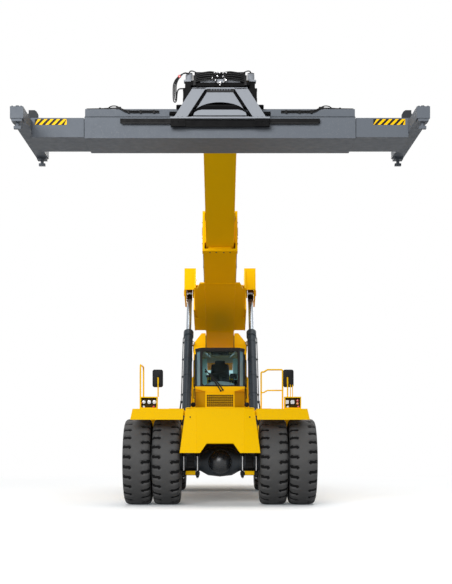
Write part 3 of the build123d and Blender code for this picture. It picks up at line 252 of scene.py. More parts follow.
def metal(name, colour, rough, brushed=(1.0, 1.0, 1.0), dirt=(0.1, 0.09, 0.08), dirt_amount=0.3,
          metallic=1.0):
    """Bare or plated metal with faint marks along the brushed direction."""
    look = Look(name)
    marks = look.noise(30.0, 5.0, 0.6, brushed)
    base = look.mixed(look.ranged(marks, 0.35, 0.7), colour, scaled(colour, 0.82))
    base = look.mixed(look.ranged(look.noise(6.0, 5.0, 0.6), 0.55, 0.8, 0.0, dirt_amount), base, dirt)
    return look.finish({"Base Color": base, "Roughness": look.ranged(marks, 0.3, 0.7, rough, rough + 0.12),
                        "Metallic": metallic}, marks, 0.08, 0.001)


def rubber(name, colour, dust, rough=0.75, dust_amount=0.5, grain=90.0):
    look = Look(name)
    fine = look.noise(grain, 5.0, 0.7)
    base = look.mixed(look.ranged(look.noise(3.0, 6.0, 0.6), 0.42, 0.75, 0.0, dust_amount), colour, dust)
    base = look.mixed(look.ranged(fine, 0.35, 0.7, 0.0, 0.35), base, scaled(colour, 0.6))
    return look.finish({"Base Color": base, "Roughness": look.ranged(fine, 0.3, 0.7, rough - 0.08,
                                                                     rough + 0.12),
                        "Specular IOR Level": 0.2}, fine, 0.25, 0.003)


def plastic(name, colour, rough=0.45, grain=220.0, bump=0.12, gloss=0.15):
    look = Look(name)
    broad = look.noise(5.0, 4.0)
    base = look.mixed(look.ranged(broad, 0.35, 0.75, 0.0, 0.4), colour, scaled(colour, 1.5, 0.01))
    return look.finish({"Base Color": base, "Roughness": look.ranged(broad, 0.3, 0.7, rough, rough + 0.15),
                        "Specular IOR Level": gloss}, look.noise(grain, 3.0, 0.6), bump, 0.001)


def glass(name, colour, painted_reflection_zones):
    """Tinted pane with faint dust; in a zone with a painted reflection the pane shows its pale colour and
    lets less light through.
    """
    look = Look(name)
    film = look.noise(4.0, 6.0, 0.65)
    base = look.mixed(look.ranged(film, 0.4, 0.8), colour, scaled(colour, 0.93))
    clear = 1.0
    for other, lows, highs in painted_reflection_zones:
        inside = look.zone(lows, highs)
        base = look.mixed(inside, base, other)
        clear = look.maths("SUBTRACT", clear, look.maths("MULTIPLY", inside, 0.62))
    return look.finish({"Base Color": base, "Roughness": look.ranged(film, 0.5, 0.9, 0.0, 0.05),
                        "Transmission Weight": clear, "IOR": 1.12})


def lens(name, colour):
    """A ribbed lamp lens: bright inside a clear coat."""
    look = Look(name)
    spots = look.noise(30.0, 4.0)
    ribs = look.add("TexWave", {"Scale": 60.0, "Distortion": 0.4, "Vector": look.coords})["Fac"]
    base = look.mixed(look.ranged(spots, 0.4, 0.8, 0.0, 0.5), colour, scaled(colour, 0.7))
    return look.finish({"Base Color": base, "Roughness": look.ranged(spots, 0.3, 0.7, 0.08, 0.2),
                        "Coat Weight": 1.0, "Coat Roughness": 0.03}, ribs, 0.35, 0.003)


# what several paints share: a coat starts with its colour, its dust, its rubbed edges and its roughness
YELLOW_COAT = ((1.0, 0.575, 0.0), (0.62, 0.32, 0.01), (0.45, 0.28, 0.08), 0.36, 0.05, 0.08, 0.2)
GREY_COAT = ((0.125, 0.140, 0.162), (0.08, 0.075, 0.07), (0.28, 0.28, 0.28), 0.45)
DARK_DUST, DARK_WORN = (0.055, 0.052, 0.048), (0.16, 0.16, 0.16)
INK = (0.0035, 0.0035, 0.0040)
# painted shade on the nose's slanted cheeks, a darker yellow where they face sideways
CHEEK_PAINTED_SHADE, CHEEK_X, CHEEK_TOP = (0.56, 0.28, 0.0), 0.352, 2.555
CHEEK_REAR = lower_corner("cab_shell").y + 0.335
# a darker colour on the spreader's rails, and on the top of its beams near the middle
RAIL_END, RAIL_EDGE, RAIL_LOW, RAIL_HIGH = 1.6, 0.4605, 6.20, 6.285
BEAM_SLOT, BEAM_SLOT_LOW, SLOT_INK = 0.60, 6.312, (0.035, 0.038, 0.042)
MID_Y = (lower_corner("spreader_frame").y + upper_corner("spreader_frame").y) / 2
# painted reflection on the glass behind both edges of the front pane: a pale blue that lets less light
# through
PAINTED_REFLECTION, REFLECTION_X, REFLECTION_REAR, REFLECTION_LOW, REFLECTION_HIGH = (0.30, 0.49, 0.58), 0.472, 2.80, 2.6, 3.6

YELLOW = paint("yellow_paint", *YELLOW_COAT)
# the nose's yellow, with painted shade on its slanted cheeks
NOSE_YELLOW_AND_SHADE = paint("nose_paint_and_painted_shade", *YELLOW_COAT,
                    zones=((CHEEK_PAINTED_SHADE, (None, None, None), (-CHEEK_X, CHEEK_REAR, CHEEK_TOP)),
                           (CHEEK_PAINTED_SHADE, (CHEEK_X, None, None), (None, CHEEK_REAR, CHEEK_TOP))))
DARK = paint("dark_paint", (0.024, 0.034, 0.045), DARK_DUST, DARK_WORN, 0.28, 0.16, 0.15, 0.35)
# black steel, also used as painted shade where it shows between lighter parts
BLACK_STEEL_AND_SHADE = paint("black_steel_and_painted_shade", INK, (0.007, 0.0065, 0.006), (0.04, 0.04, 0.04), 0.34, 0.03, 0.1, 0.15)
GREY = paint("grey_paint", *GREY_COAT, 0.12, 0.2, 0.3)
SPREADER = paint("spreader_grey", *GREY_COAT, 0.08, 0.2, 0.3,
                 zones=((INK, (-RAIL_END, None, RAIL_LOW), (RAIL_END, MID_Y - RAIL_EDGE, RAIL_HIGH)),
                        (INK, (-RAIL_END, MID_Y + RAIL_EDGE, RAIL_LOW), (RAIL_END, None, RAIL_HIGH))))
BEAM = paint("beam_grey", *GREY_COAT, 0.08, 0.2, 0.3,
             zones=((SLOT_INK, (None, MID_Y - BEAM_SLOT, BEAM_SLOT_LOW), (None, MID_Y + BEAM_SLOT, None)),))
CAB_GREY = paint("cab_grey", (0.014, 0.018, 0.022), (0.05, 0.048, 0.042), (0.15, 0.15, 0.15), 0.34, 0.15,
                 0.15, 0.25)
CAST = paint("engine_grey", (0.10, 0.10, 0.10), (0.05, 0.04, 0.03), (0.2, 0.2, 0.2), 0.6, 0.2, 0.6, 0.4)
CHROME = metal("hard_chrome", (0.36, 0.40, 0.45), 0.22, (1.0, 1.0, 0.1), dirt_amount=0.08, metallic=0.75)
STEEL = metal("brushed_steel", (0.55, 0.55, 0.56), 0.28)
TYRE = rubber("tyre_rubber", (0.078, 0.078, 0.079), (0.105, 0.103, 0.10), 0.62, 0.35)
BLACK = plastic("black_plastic", (0.006, 0.006, 0.0065))
HOSE = rubber("hose_rubber", (0.006, 0.006, 0.0065), (0.02, 0.019, 0.018), 0.45, 0.3, 260.0)
FABRIC = plastic("seat_fabric", (0.035, 0.037, 0.042), 0.8, 420.0, 0.5)
# tinted glass, with a painted reflection on the panes beside the front pane
PANE = glass("tinted_glass", (0.62, 0.80, 0.81),
             ((PAINTED_REFLECTION, (None, None, REFLECTION_LOW), (-REFLECTION_X, REFLECTION_REAR, REFLECTION_HIGH)),
              (PAINTED_REFLECTION, (REFLECTION_X, None, REFLECTION_LOW), (None, REFLECTION_REAR, REFLECTION_HIGH))))
# painted shade for recesses: the floors of the tyres' grooves and the screen behind the grille's holes
RECESS_SHADE = rubber("recess_painted_shade", (0.004, 0.004, 0.0045), (0.010, 0.0095, 0.009), 0.9, 0.2)
DOME = paint("axle_dome", (0.012, 0.014, 0.017), (0.03, 0.028, 0.025), (0.12, 0.12, 0.12), 0.24, 0.55, 0.1,
             0.2)
PALE = paint("pale_grey", (0.255, 0.272, 0.30), (0.16, 0.15, 0.13), (0.45, 0.45, 0.45), 0.42, 0.15, 0.2, 0.2)
AXLE_GREY = paint("axle_paint", (0.034, 0.040, 0.047), DARK_DUST, DARK_WORN, 0.35, 0.2, 0.15, 0.3)
RIM = paint("rim_paint", (0.055, 0.060, 0.068), (0.09, 0.085, 0.075), (0.3, 0.3, 0.3), 0.32, 0.3, 0.3, 0.4)
STEEL_DARK = metal("pipe_steel", (0.10, 0.11, 0.12), 0.35, metallic=0.6)
CAB_TRIM = plastic("cab_trim", (0.030, 0.030, 0.032), 0.6)
LINING = plastic("headliner_felt", (0.42, 0.39, 0.33), 0.85, 300.0, 0.3)
# painted light: a pale blue-green like the bright backdrop seen through the cab's rear window
CORNER_PAINTED_LIGHT = plastic("corner_painted_light", (0.46, 0.66, 0.70), 0.6)
# painted shade: a dark brownish yellow for yellow parts that stand in shade, the plates inside the lamp boxes
PAINTED_SHADE_YELLOW = paint("shadowed_paint", (0.060, 0.034, 0.004), (0.04, 0.03, 0.01), (0.1, 0.08, 0.04), 0.5, 0.05, 0.2,
              0.2)
RED_LENS = lens("red_lens", (0.62, 0.015, 0.01))
AMBER_LENS = lens("amber_lens", (0.85, 0.22, 0.01))
CLEAR_LENS = lens("clear_lens", (0.80, 0.82, 0.84))
MIRROR = metal("mirror_glass", (0.85, 0.87, 0.88), 0.02, dirt_amount=0.05)

# the slot that each material stands for; the first material of a slot is the one its CAD nodes wear
SLOT_MATERIALS = {"yellow_paint": (YELLOW, PAINTED_SHADE_YELLOW), "grey_paint": (GREY, PALE), "engine_grey": (CAST,),
                  "dark_paint": (DARK, DOME, RIM, STEEL, STEEL_DARK, RECESS_SHADE), "seat_fabric": (FABRIC,),
                  "cab_grey": (CAB_GREY, CAB_TRIM, LINING, CORNER_PAINTED_LIGHT), "black_plastic": (BLACK, HOSE),
                  "tinted_glass": (PANE, CLEAR_LENS, RED_LENS, AMBER_LENS), "tyre_rubber": (TYRE,),
                  "hard_chrome": (CHROME, MIRROR)}
# the turret's black is its posts' own colour, and painted shade where it shows through the arch and beside
# the legs
NODE_MATERIAL = {"cab_base": NOSE_YELLOW_AND_SHADE, "turret": BLACK_STEEL_AND_SHADE, "head_yoke": BLACK_STEEL_AND_SHADE,
                 "front_axle": AXLE_GREY,
                 "spreader_frame": SPREADER, "spreader_beam_left": BEAM, "spreader_beam_right": BEAM,
                 "front_rims_left": RIM, "front_rims_right": RIM, "rear_rim_left": RIM, "rear_rim_right": RIM}


def dress_nodes():
    """Gives each carried-over CAD node its finished material."""
    for row in frame["record"]["subparts"]:
        node = frame["nodes"][row["node"]]
        node.data.materials.clear()
        node.data.materials.append(NODE_MATERIAL.get(row["node"]) or SLOT_MATERIALS[row["material_slot"]][0])


dress_nodes()

# ---------------------------------------------------------------- mesh makers

AHEAD, ASTERN, UP = (0, -1, 0), (0, 1, 0), (0, 0, 1)


def put_box(bm, corners):
    """A box from its eight corners, the last axis running fastest."""
    verts = [bm.verts.new(corner) for corner in corners]
    for quad in ((0, 1, 3, 2), (4, 6, 7, 5), (0, 4, 5, 1), (2, 3, 7, 6), (0, 2, 6, 4), (1, 5, 7, 3)):
        bm.faces.new([verts[i] for i in quad])


def put_block(bm, xs, ys, zs):
    """A block between the two x, the two y and the two z."""
    put_box(bm, [(x, y, z) for x in xs for y in ys for z in zs])


def put_pair(bm, xs, ys, zs):
    """The same block on both sides of the machine."""
    for side in (1, -1):
        put_block(bm, [side * x for x in xs], ys, zs)


def axis_frame(direction):
    """Two unit vectors square to the direction, and the direction itself."""
    along = Vector(direction).normalized()
    first = along.cross(Vector(UP) if abs(along.z) < 0.9 else Vector((1, 0, 0))).normalized()
    return first, along.cross(first), along


def put_lathe(bm, place, direction, profile, segments=32, start=0.0):
    """A turned form: (distance, radius) from end to end, or back to the start for a ring."""
    first, second, along = axis_frame(direction)
    centre = Vector(place)
    closed = profile[0] == profile[-1]
    if closed:
        profile = profile[:-1]
    rings = []
    for distance, radius in profile:
        if radius < 1e-6:
            rings.append([bm.verts.new(centre + along * distance)])
            continue
        ring = []
        for i in range(segments):
            angle = start + 2 * math.pi * i / segments
            ring.append(bm.verts.new(centre + along * distance
                                     + (first * math.cos(angle) + second * math.sin(angle)) * radius))
        rings.append(ring)
    for a, b in zip(rings, rings[1:] + ([rings[0]] if closed else [])):
        for i in range(segments):
            j = (i + 1) % segments
            if len(a) == 1 and len(b) > 1:
                bm.faces.new((a[0], b[i], b[j]))
            elif len(b) == 1 and len(a) > 1:
                bm.faces.new((a[i], b[0], a[j]))
            elif len(a) > 1:
                bm.faces.new((a[i], b[i], b[j], a[j]))
    for ring in (rings[0], rings[-1]):
        if len(ring) > 1 and not closed:
            bm.faces.new(ring)


def put_bar(bm, a, b, radius, segments=16):
    """A round bar from a to b with eased ends."""
    length = (Vector(b) - Vector(a)).length
    ease = min(radius * 0.25, length * 0.2)
    put_lathe(bm, a, Vector(b) - Vector(a), [(0, radius - ease), (ease, radius), (length - ease, radius),
                                             (length, radius - ease)], segments)


def put_bolt(bm, place, direction, size, height=None, washer=True):
    """A hexagon head on its washer."""
    height = height or size * 0.7
    if washer:
        put_lathe(bm, place, direction, [(0, size * 1.25), (size * 0.18, size * 1.25),
                                         (size * 0.2, size * 0.6)], 20)
    put_lathe(bm, place, direction, [(size * 0.1, size), (height - size * 0.12, size),
                                     (height, size * 0.86)], 6)


def put_prism(bm, points, low, high, turn):
    """A plate: an outline of (a, b) points from low to high; turn makes (a, b, height) into a place."""
    lower = [bm.verts.new(turn(a, b, low)) for a, b in points]
    upper = [bm.verts.new(turn(a, b, high)) for a, b in points]
    bm.faces.new(lower)
    bm.faces.new(upper)
    for i in range(len(points)):
        j = (i + 1) % len(points)
        bm.faces.new((lower[i], lower[j], upper[j], upper[i]))


def upright(x, z):
    """Turns an outline that faces forwards, with its origin at x and z, into places."""
    return lambda a, b, height: Vector((x + a, height, z + b))


def level(x, y):
    """Turns an outline that lies level, with its origin at x and y, into places."""
    return lambda a, b, height: Vector((x + a, y + b, height))


def sideways(y, z):
    """Turns an outline that faces sideways, with its origin at y and z, into places."""
    return lambda a, b, height: Vector((height, y + a, z + b))


def round_places(centre, direction, radius, count, start=0.0):
    """Evenly spaced places on a circle square to the direction."""
    first, second, _ = axis_frame(direction)
    for i in range(count):
        angle = start + 2 * math.pi * i / count
        yield Vector(centre) + (first * math.cos(angle) + second * math.sin(angle)) * radius


def put_bolts(bm, centre, direction, radius, count, size, height=None, washer=True, start=0.0):
    """A circle of bolts."""
    for place in round_places(centre, direction, radius, count, start):
        put_bolt(bm, place, direction, size, height, washer)


def rounded_outline(half_x, half_z, corner, steps=6):
    """A rounded rectangle about the origin."""
    points = []
    for cx, cz, start in ((1, 1, 0), (-1, 1, 90), (-1, -1, 180), (1, -1, 270)):
        for step in range(steps + 1):
            angle = math.radians(start + 90 / steps * step)
            points.append((cx * (half_x - corner) + corner * math.cos(angle),
                           cz * (half_z - corner) + corner * math.sin(angle)))
    return points


def put_skin(bm, loops):
    """Faces between each loop of vertices and the next."""
    for a, b in zip(loops, loops[1:]):
        for i in range(len(a)):
            j = (i + 1) % len(a)
            bm.faces.new((a[i], a[j], b[j], b[i]))


def put_frame(bm, outer, inner, low, high, turn):
    """A flat frame between two outlines with the same number of points."""
    loops = []
    for points, height in ((outer, low), (outer, high), (inner, high), (inner, low)):
        loops.append([bm.verts.new(turn(a, b, height)) for a, b in points])
    put_skin(bm, loops + loops[:1])


def ride_body(name, body, data):
    """An object that rides on the body."""
    piece = add_object(name, data)
    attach(piece, body)
    return piece


def add_piece(name, body, bm, *materials, place=None, edge=0.0, slot=None, replaces=(), angle=35.0):
    """The bmesh as a piece that rides on the body, smooth across gentle edges; place moves it first."""
    if place is not None:
        bmesh.ops.transform(bm, matrix=place, verts=bm.verts)
    bmesh.ops.recalc_face_normals(bm, faces=bm.faces)
    mesh = bpy.data.meshes.new(name)
    bm.to_mesh(mesh)
    bm.free()
    for material in materials:
        mesh.materials.append(material)
    mesh.shade_smooth()
    mesh.set_sharp_from_angle(angle=math.radians(angle))
    piece = ride_body(name, body, mesh)
    if edge:
        bevel = piece.modifiers.new("edge", "BEVEL")
        bevel.width, bevel.segments = edge, 2
        bevel.limit_method, bevel.angle_limit = "ANGLE", math.radians(40)
    if replaces:
        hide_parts(*replaces)
    return piece


def add_tubes(name, body, material, radius, runs):
    """Round tubes or hoses, each a smooth line through its run of points, as one piece."""
    curve = bpy.data.curves.new(name, "CURVE")
    curve.dimensions = "3D"
    curve.bevel_depth, curve.bevel_resolution, curve.resolution_u = radius, 3, 10
    curve.use_fill_caps = True
    for run in runs:
        spline = curve.splines.new("NURBS")
        spline.points.add(len(run) - 1)
        for point, at in zip(spline.points, run):
            point.co = (*at, 1.0)
        spline.order_u = min(3, len(run))
        spline.use_endpoint_u = True
    curve.materials.append(material)
    ride_body(name, body, curve)


def both_sides(points):
    """The run of points on the left and its mirror image on the right."""
    return [[(x * side, y, z) for x, y, z in points] for side in (1, -1)]


SIDES = (("left", 1), ("right", -1))

# ---------------------------------------------------------------- wheels

AXLE = Vector((0.0, 0.0, upper_corner("front_tyres_left").z / 2))
REAR_AXLE = Vector((0.0, (lower_corner("rear_tyre_left").y + upper_corner("rear_tyre_left").y) / 2, AXLE.z))
TYRE_RADIUS = AXLE.z
TYRE_WIDTH = upper_corner("rear_tyre_left").x - lower_corner("rear_tyre_left").x
LUGS = 26                    # lug pitches round a tyre
GROOVE_DEPTH = 0.028
GROOVE_LENGTH = 0.205
LOCK_RING = [(0.0, 0.424), (0.0, 0.441), (0.022, 0.448), (0.034, 0.444), (0.036, 0.424), (0.0, 0.424)]


def put_tyre(bm, centre):
    """A tyre along X: rounded shoulders, and curved grooves cut in from both edges of a smooth tread."""
    half = TYRE_WIDTH / 2
    per_pitch = 12
    count = LUGS * per_pitch
    # half of the section: distance from the middle, how far it lies inside the tread's radius
    tread = [(0.0, 0.0), (0.035, 0.0), (0.07, 0.0), (0.10, 0.001), (0.118, 0.001), (0.132, 0.002),
             (0.155, 0.003),
             (0.18, 0.005), (0.205, 0.008), (0.228, 0.014), (0.248, 0.024), (0.266, 0.040), (0.281, 0.064),
             (half - 0.004, 0.095)]
    side = [(half, 0.135), (half, 0.17), (half - 0.004, 0.21), (half - 0.003, 0.222), (half, 0.234),
            (half - 0.004, 0.30), (half - 0.014, 0.38), (half - 0.026, 0.43), (half - 0.030, 0.452),
            (half - 0.022, 0.463), (half - 0.024, 0.482), (half - 0.034, 0.494)]
    profile = [(-u, d) for u, d in side[::-1]] + [(-u, d) for u, d in tread[:0:-1]] + tread + side
    rows = []
    for i in range(count):
        angle = 2 * math.pi * i / count
        row = []
        for u, inset in profile:
            reach = abs(u)
            depth = 0.0
            if half - GROOVE_LENGTH < reach and inset < 0.10:
                # the grooves of one edge stand half a pitch from those of the other, and bend a little
                into = reach - half + GROOVE_LENGTH
                phase = (i / per_pitch + (0.5 if u > 0 else 0.0) + 1.3 * into ** 1.5) % 1.0
                across = abs(phase - 0.5) * 2.0
                run = min(1.0, into / 0.03)
                width = 0.36 * math.sqrt(run) + 0.02
                depth = GROOVE_DEPTH * max(0.0, min(1.0, (width - across) / 0.09 + 0.5)) * min(1.0, run * 1.5)
            radius = TYRE_RADIUS - inset - depth
            row.append((bm.verts.new(centre + Vector((u, math.cos(angle) * radius,
                                                      math.sin(angle) * radius))), depth))
        rows.append(row)
    for i in range(count):
        a, b = rows[i], rows[(i + 1) % count]
        for k in range(len(profile) - 1):
            face = bm.faces.new((a[k][0], a[k + 1][0], b[k + 1][0], b[k][0]))
            # faces deep in a groove take the second material, painted shade for the groove's recess
            if min(a[k][1], a[k + 1][1], b[k + 1][1], b[k][1]) > GROOVE_DEPTH * 0.3:
                face.material_index = 1


def add_wheels():
    for side, s in SIDES:
        low, high = lower_corner("front_tyres_" + side).x, upper_corner("front_tyres_" + side).x
        centres = [low + TYRE_WIDTH / 2, high - TYRE_WIDTH / 2]
        bm = bmesh.new()
        for x in centres:
            put_tyre(bm, AXLE + Vector((x, 0, 0)))
        add_piece("front_tread_" + side, "front_wheels_" + side, bm, TYRE, RECESS_SHADE,
                  replaces=["front_tyres_" + side], angle=50)
        bm = bmesh.new()
        rear_x = (lower_corner("rear_tyre_" + side).x + upper_corner("rear_tyre_" + side).x) / 2
        put_tyre(bm, REAR_AXLE + Vector((rear_x, 0, 0)))
        add_piece("rear_tread_" + side, "rear_wheel_" + side, bm, TYRE, RECESS_SHADE,
                  replaces=["rear_tyre_" + side], angle=50)

        # the outer front wheel: nuts round its disc, a stepped hub cover with its bolts, and the lock ring
        outer = max(centres, key=abs)
        face = outer - s * 0.185
        bm = bmesh.new()
        put_bolts(bm, AXLE + Vector((face, 0, 0)), (s, 0, 0), 0.34, 20, 0.019, 0.03)
        put_bolts(bm, AXLE + Vector((face + s * 0.018, 0, 0)), (s, 0, 0), 0.222, 12, 0.013, 0.018,
                  start=math.pi / 12)
        add_piece("wheel_nuts_" + side, "front_wheels_" + side, bm, STEEL)
        bm = bmesh.new()
        put_lathe(bm, AXLE + Vector((face, 0, 0)), (s, 0, 0),
                  [(0.0, 0.258), (0.016, 0.254), (0.019, 0.19), (0.06, 0.176), (0.21, 0.165), (0.226, 0.156),
                   (0.228, 0.09), (0.236, 0.086), (0.238, 0.0)], 48)
        add_piece("hub_cover_" + side, "front_wheels_" + side, bm, RIM)
        bm = bmesh.new()
        put_lathe(bm, AXLE + Vector((outer + s * 0.235, 0, 0)), (s, 0, 0), LOCK_RING, 64)
        add_piece("lock_ring_" + side, "front_wheels_" + side, bm, STEEL_DARK)

        # the steered wheel: nuts and a small domed cover
        disc = rear_x + s * 0.165
        bm = bmesh.new()
        put_bolts(bm, REAR_AXLE + Vector((disc, 0, 0)), (s, 0, 0), 0.285, 16, 0.018, 0.028)
        add_piece("rear_wheel_nuts_" + side, "rear_wheel_" + side, bm, STEEL)
        bm = bmesh.new()
        put_lathe(bm, REAR_AXLE + Vector((rear_x + s * 0.238, 0, 0)), (s, 0, 0),
                  [(0.0, 0.168), (0.006, 0.16), (0.008, 0.115), (0.03, 0.105), (0.042, 0.07), (0.047, 0.0)],
                  40)
        put_lathe(bm, REAR_AXLE + Vector((rear_x + s * 0.235, 0, 0)), (s, 0, 0), LOCK_RING, 64)
        add_piece("rear_hub_cap_" + side, "rear_wheel_" + side, bm, RIM)


add_wheels()

# ---------------------------------------------------------------- front axle and fascia

FASCIA_FRONT = lower_corner("front_fascia").y
FASCIA_TOP = upper_corner("front_fascia").z


def add_axle_parts():
    front = lower_corner("front_axle").y
    bm = bmesh.new()
    put_bolts(bm, (0, -0.238, AXLE.z), AHEAD, 0.275, 20, 0.009, 0.012)
    add_piece("banjo_bolts", "chassis", bm, DARK)
    bm = bmesh.new()
    dome = [(0.285 * math.sin(math.radians(a)), 0.285 * math.cos(math.radians(a))) for a in range(24, 91, 6)]
    put_lathe(bm, (0, front + 0.283, AXLE.z), AHEAD, [(0.075, 0.258)] + dome[:-1] + [(0.2852, 0.0)], 64)
    add_piece("axle_dome", "chassis", bm, DOME, angle=60)

    # clamp bolts: bright shanks with dark nuts and collars, in front of the axle and behind it
    shanks, nuts, collars = bmesh.new(), bmesh.new(), bmesh.new()
    for s in (1, -1):
        for x in (0.49, 0.79):
            for y in (-0.214, 0.214):
                put_lathe(shanks, (s * x, y, 0.575), UP, [(0, 0.013), (0.006, 0.0185), (0.520, 0.0185),
                                                                 (0.522, 0.012)], 20)
                for z, up in ((0.64, -1), (0.70, 1)):
                    put_bolt(nuts, (s * x, y, z), (0, 0, up), 0.034, 0.045)
                put_block(collars, (s * x - 0.045, s * x + 0.045), (y - 0.035, y + 0.035), (0.642, 0.698))
                put_lathe(collars, (s * x, y, 1.055), UP, [(0, 0.033), (0.008, 0.040), (0.075, 0.040),
                                                                  (0.080, 0.03)], 24)
    add_piece("clamp_bolt_shanks", "chassis", shanks, STEEL)
    add_piece("clamp_bolt_nuts", "chassis", nuts, BLACK, slot="dark_paint")
    add_piece("clamp_bolt_collars", "chassis", collars, BLACK, edge=0.003, slot="dark_paint")
    pads = bmesh.new()
    for ys in ((-0.196, -0.152), (0.152, 0.196)):
        put_pair(pads, (0.535, 0.745), ys, (0.648, 0.735))
    add_piece("clamp_pads", "chassis", pads, YELLOW, edge=0.008)
    # rubber stops between the axle and the side members
    stops = bmesh.new()
    put_pair(stops, (0.56, 0.72), (-0.232, -0.192), (0.80, 1.08))
    for z in (0.86, 0.94, 1.02):
        put_pair(stops, (0.55, 0.73), (-0.238, -0.192), (z - 0.006, z + 0.006))
    add_piece("axle_stops", "chassis", stops, BLACK, edge=0.006)
    # brake pipes along the tubes of the axle
    runs = both_sides([(0.16, -0.18, AXLE.z + 0.27), (0.30, -0.24, AXLE.z + 0.24),
                       (0.42, -0.22, AXLE.z + 0.19),
                       (0.62, -0.205, AXLE.z + 0.155), (0.80, -0.20, AXLE.z + 0.12)])
    add_tubes("brake_pipes", "chassis", HOSE, 0.009, runs)


def fold_depth(x):
    """How far the fascia's folded side lies behind its middle."""
    return max(0.0, abs(x) - 0.5) * 0.046 / 0.36


def add_fascia_parts():
    bolts = bmesh.new()
    for x in (-0.625, 0.625):
        put_bolt(bolts, (x, FASCIA_FRONT + fold_depth(x) + 0.0015, 1.895), AHEAD, 0.013, 0.014)
    add_piece("fascia_bolts", "chassis", bolts, BLACK)
    # the fold along the plate's top edge, and the two upright folds
    trim = bmesh.new()
    put_block(trim, (-0.70, 0.70), (FASCIA_FRONT - 0.004, FASCIA_FRONT + 0.05),
              (FASCIA_TOP - 0.012, FASCIA_TOP + 0.006))
    add_piece("fascia_top_fold", "chassis", trim, YELLOW, edge=0.004)
    beads = bmesh.new()
    for s in (1, -1):
        put_bar(beads, (s * 0.503, FASCIA_FRONT + 0.001, 1.15),
                (s * 0.503, FASCIA_FRONT + 0.001, FASCIA_TOP - 0.02), 0.0035, 8)
    add_piece("fascia_folds", "chassis", beads, YELLOW)
    # the underside stays dark between the side members
    liner = bmesh.new()
    put_block(liner, (-0.44, 0.44), (FASCIA_FRONT + 0.13, FASCIA_FRONT + 0.14), (1.35, 1.56))
    add_piece("cross_member_liner", "chassis", liner, DARK, edge=0.003)


add_axle_parts()
add_fascia_parts()

# ---------------------------------------------------------------- lamps and mirrors

BOX_FRONT = lower_corner("lamp_boxes").y
BOX_TOP = upper_corner("lamp_boxes").z
DECK_TOP = upper_corner("deck_left").z
TOWER_FRONT = 6.36      # front faces of the boom's towers, where their lamps stand


def put_round_lamp(shell, lens, place, radius):
    """A bowl with a rim, and its domed lens."""
    put_lathe(shell, place, AHEAD, [(-0.045, radius * 0.55), (-0.02, radius * 0.92),
                                         (-0.002, radius * 1.1),
                                         (0.006, radius * 1.12), (0.008, radius * 0.98),
                                         (0.002, radius * 0.95)], 32)
    put_lathe(lens, place, AHEAD, [(-0.004, radius * 0.96), (0.003, radius * 0.9), (0.008, radius * 0.5),
                                        (0.009, 0.0)], 32)


def put_square_lamp(shell, lens, place, half):
    """A rounded square lamp: housing, rim and lens."""
    def outline(size, corner):
        return [(size * a + corner * c, size * b + corner * d) for a, b, c, d in
                ((1, 1, -1, 0), (-1, 1, 1, 0), (-1, 1, 0, -1), (-1, -1, 0, 1), (-1, -1, 1, 0), (1, -1, -1, 0),
                 (1, -1, 0, 1), (1, 1, 0, -1))]
    x, y, z = place
    for target, size, low, high in ((shell, half * 1.1, y - 0.006, y + 0.05),
                                    (lens, half * 0.94, y - 0.012, y)):
        put_prism(target, outline(size, half * 0.3), low, high, upright(x, z))


def add_lamps():
    y = BOX_FRONT + 0.045
    high, low = BOX_TOP - 0.112, DECK_TOP + 0.045
    shells, clear, red, amber = bmesh.new(), bmesh.new(), bmesh.new(), bmesh.new()
    for x, radius in ((-1.495, 0.045), (-1.384, 0.045), (-1.606, 0.040)):
        put_round_lamp(shells, clear, (x, y, high), radius)
    for x in (1.411, 1.529):
        put_square_lamp(shells, clear, (x, y, high), 0.043)
    put_round_lamp(shells, red, (1.636, y, high + 0.030), 0.028)
    put_round_lamp(shells, amber, (1.636, y, high - 0.032), 0.028)
    put_round_lamp(shells, amber, (-1.652, y - 0.004, high - 0.018), 0.020)
    for target, x in ((clear, -1.606), (red, -1.40), (clear, 1.43), (red, 1.655)):
        put_round_lamp(shells, target, (x, y + 0.006, low), 0.026)
    add_piece("lamp_housings", "chassis", shells, BLACK)
    add_piece("headlamp_lenses", "chassis", clear, CLEAR_LENS)
    add_piece("red_lenses", "chassis", red, RED_LENS)
    add_piece("amber_lenses", "chassis", amber, AMBER_LENS)
    # the plates that the lamps are bolted to, in painted shade that darkens the lamp boxes' insides, and
    # their wiring
    plates = bmesh.new()
    for x0, x1 in ((-1.665, -1.335), (1.375, 1.695)):
        put_block(plates, (x0, x1), (y + 0.030, y + 0.036), (DECK_TOP + 0.012, BOX_TOP - 0.025))
    add_piece("lamp_plates", "chassis", plates, PAINTED_SHADE_YELLOW, edge=0.002)
    runs = [[(x, y + 0.03, high - 0.03), (x + 0.02, y + 0.03, high - 0.09), (x + 0.06, y + 0.05, low + 0.01),
             (x + 0.10, y + 0.08, low - 0.02)] for x in (-1.55, -1.47, 1.47, 1.56)]
    add_tubes("lamp_wires", "chassis", HOSE, 0.005, runs)
    # small work lamps at the front of the boom's towers
    shells, clear = bmesh.new(), bmesh.new()
    for x in (0.755, -0.755):
        put_round_lamp(shells, clear, (x, TOWER_FRONT, 4.03), 0.055)
        put_lathe(shells, (x, TOWER_FRONT + 0.005, 4.03), ASTERN, [(0, 0.058), (0.05, 0.05), (0.075, 0.03),
                                                                    (0.08, 0.0)], 24)
    put_pair(shells, (0.745, 0.765), (TOWER_FRONT + 0.02, TOWER_FRONT + 0.16), (3.955, 3.975))
    put_pair(shells, (0.70, 0.765), (TOWER_FRONT + 0.13, TOWER_FRONT + 0.17), (3.955, 3.975))
    put_pair(shells, (0.745, 0.765), (TOWER_FRONT + 0.02, TOWER_FRONT + 0.05), (3.96, 4.0))
    add_piece("tower_lamp_housings", "chassis", shells, BLACK)
    add_piece("tower_lamp_lenses", "chassis", clear, CLEAR_LENS)


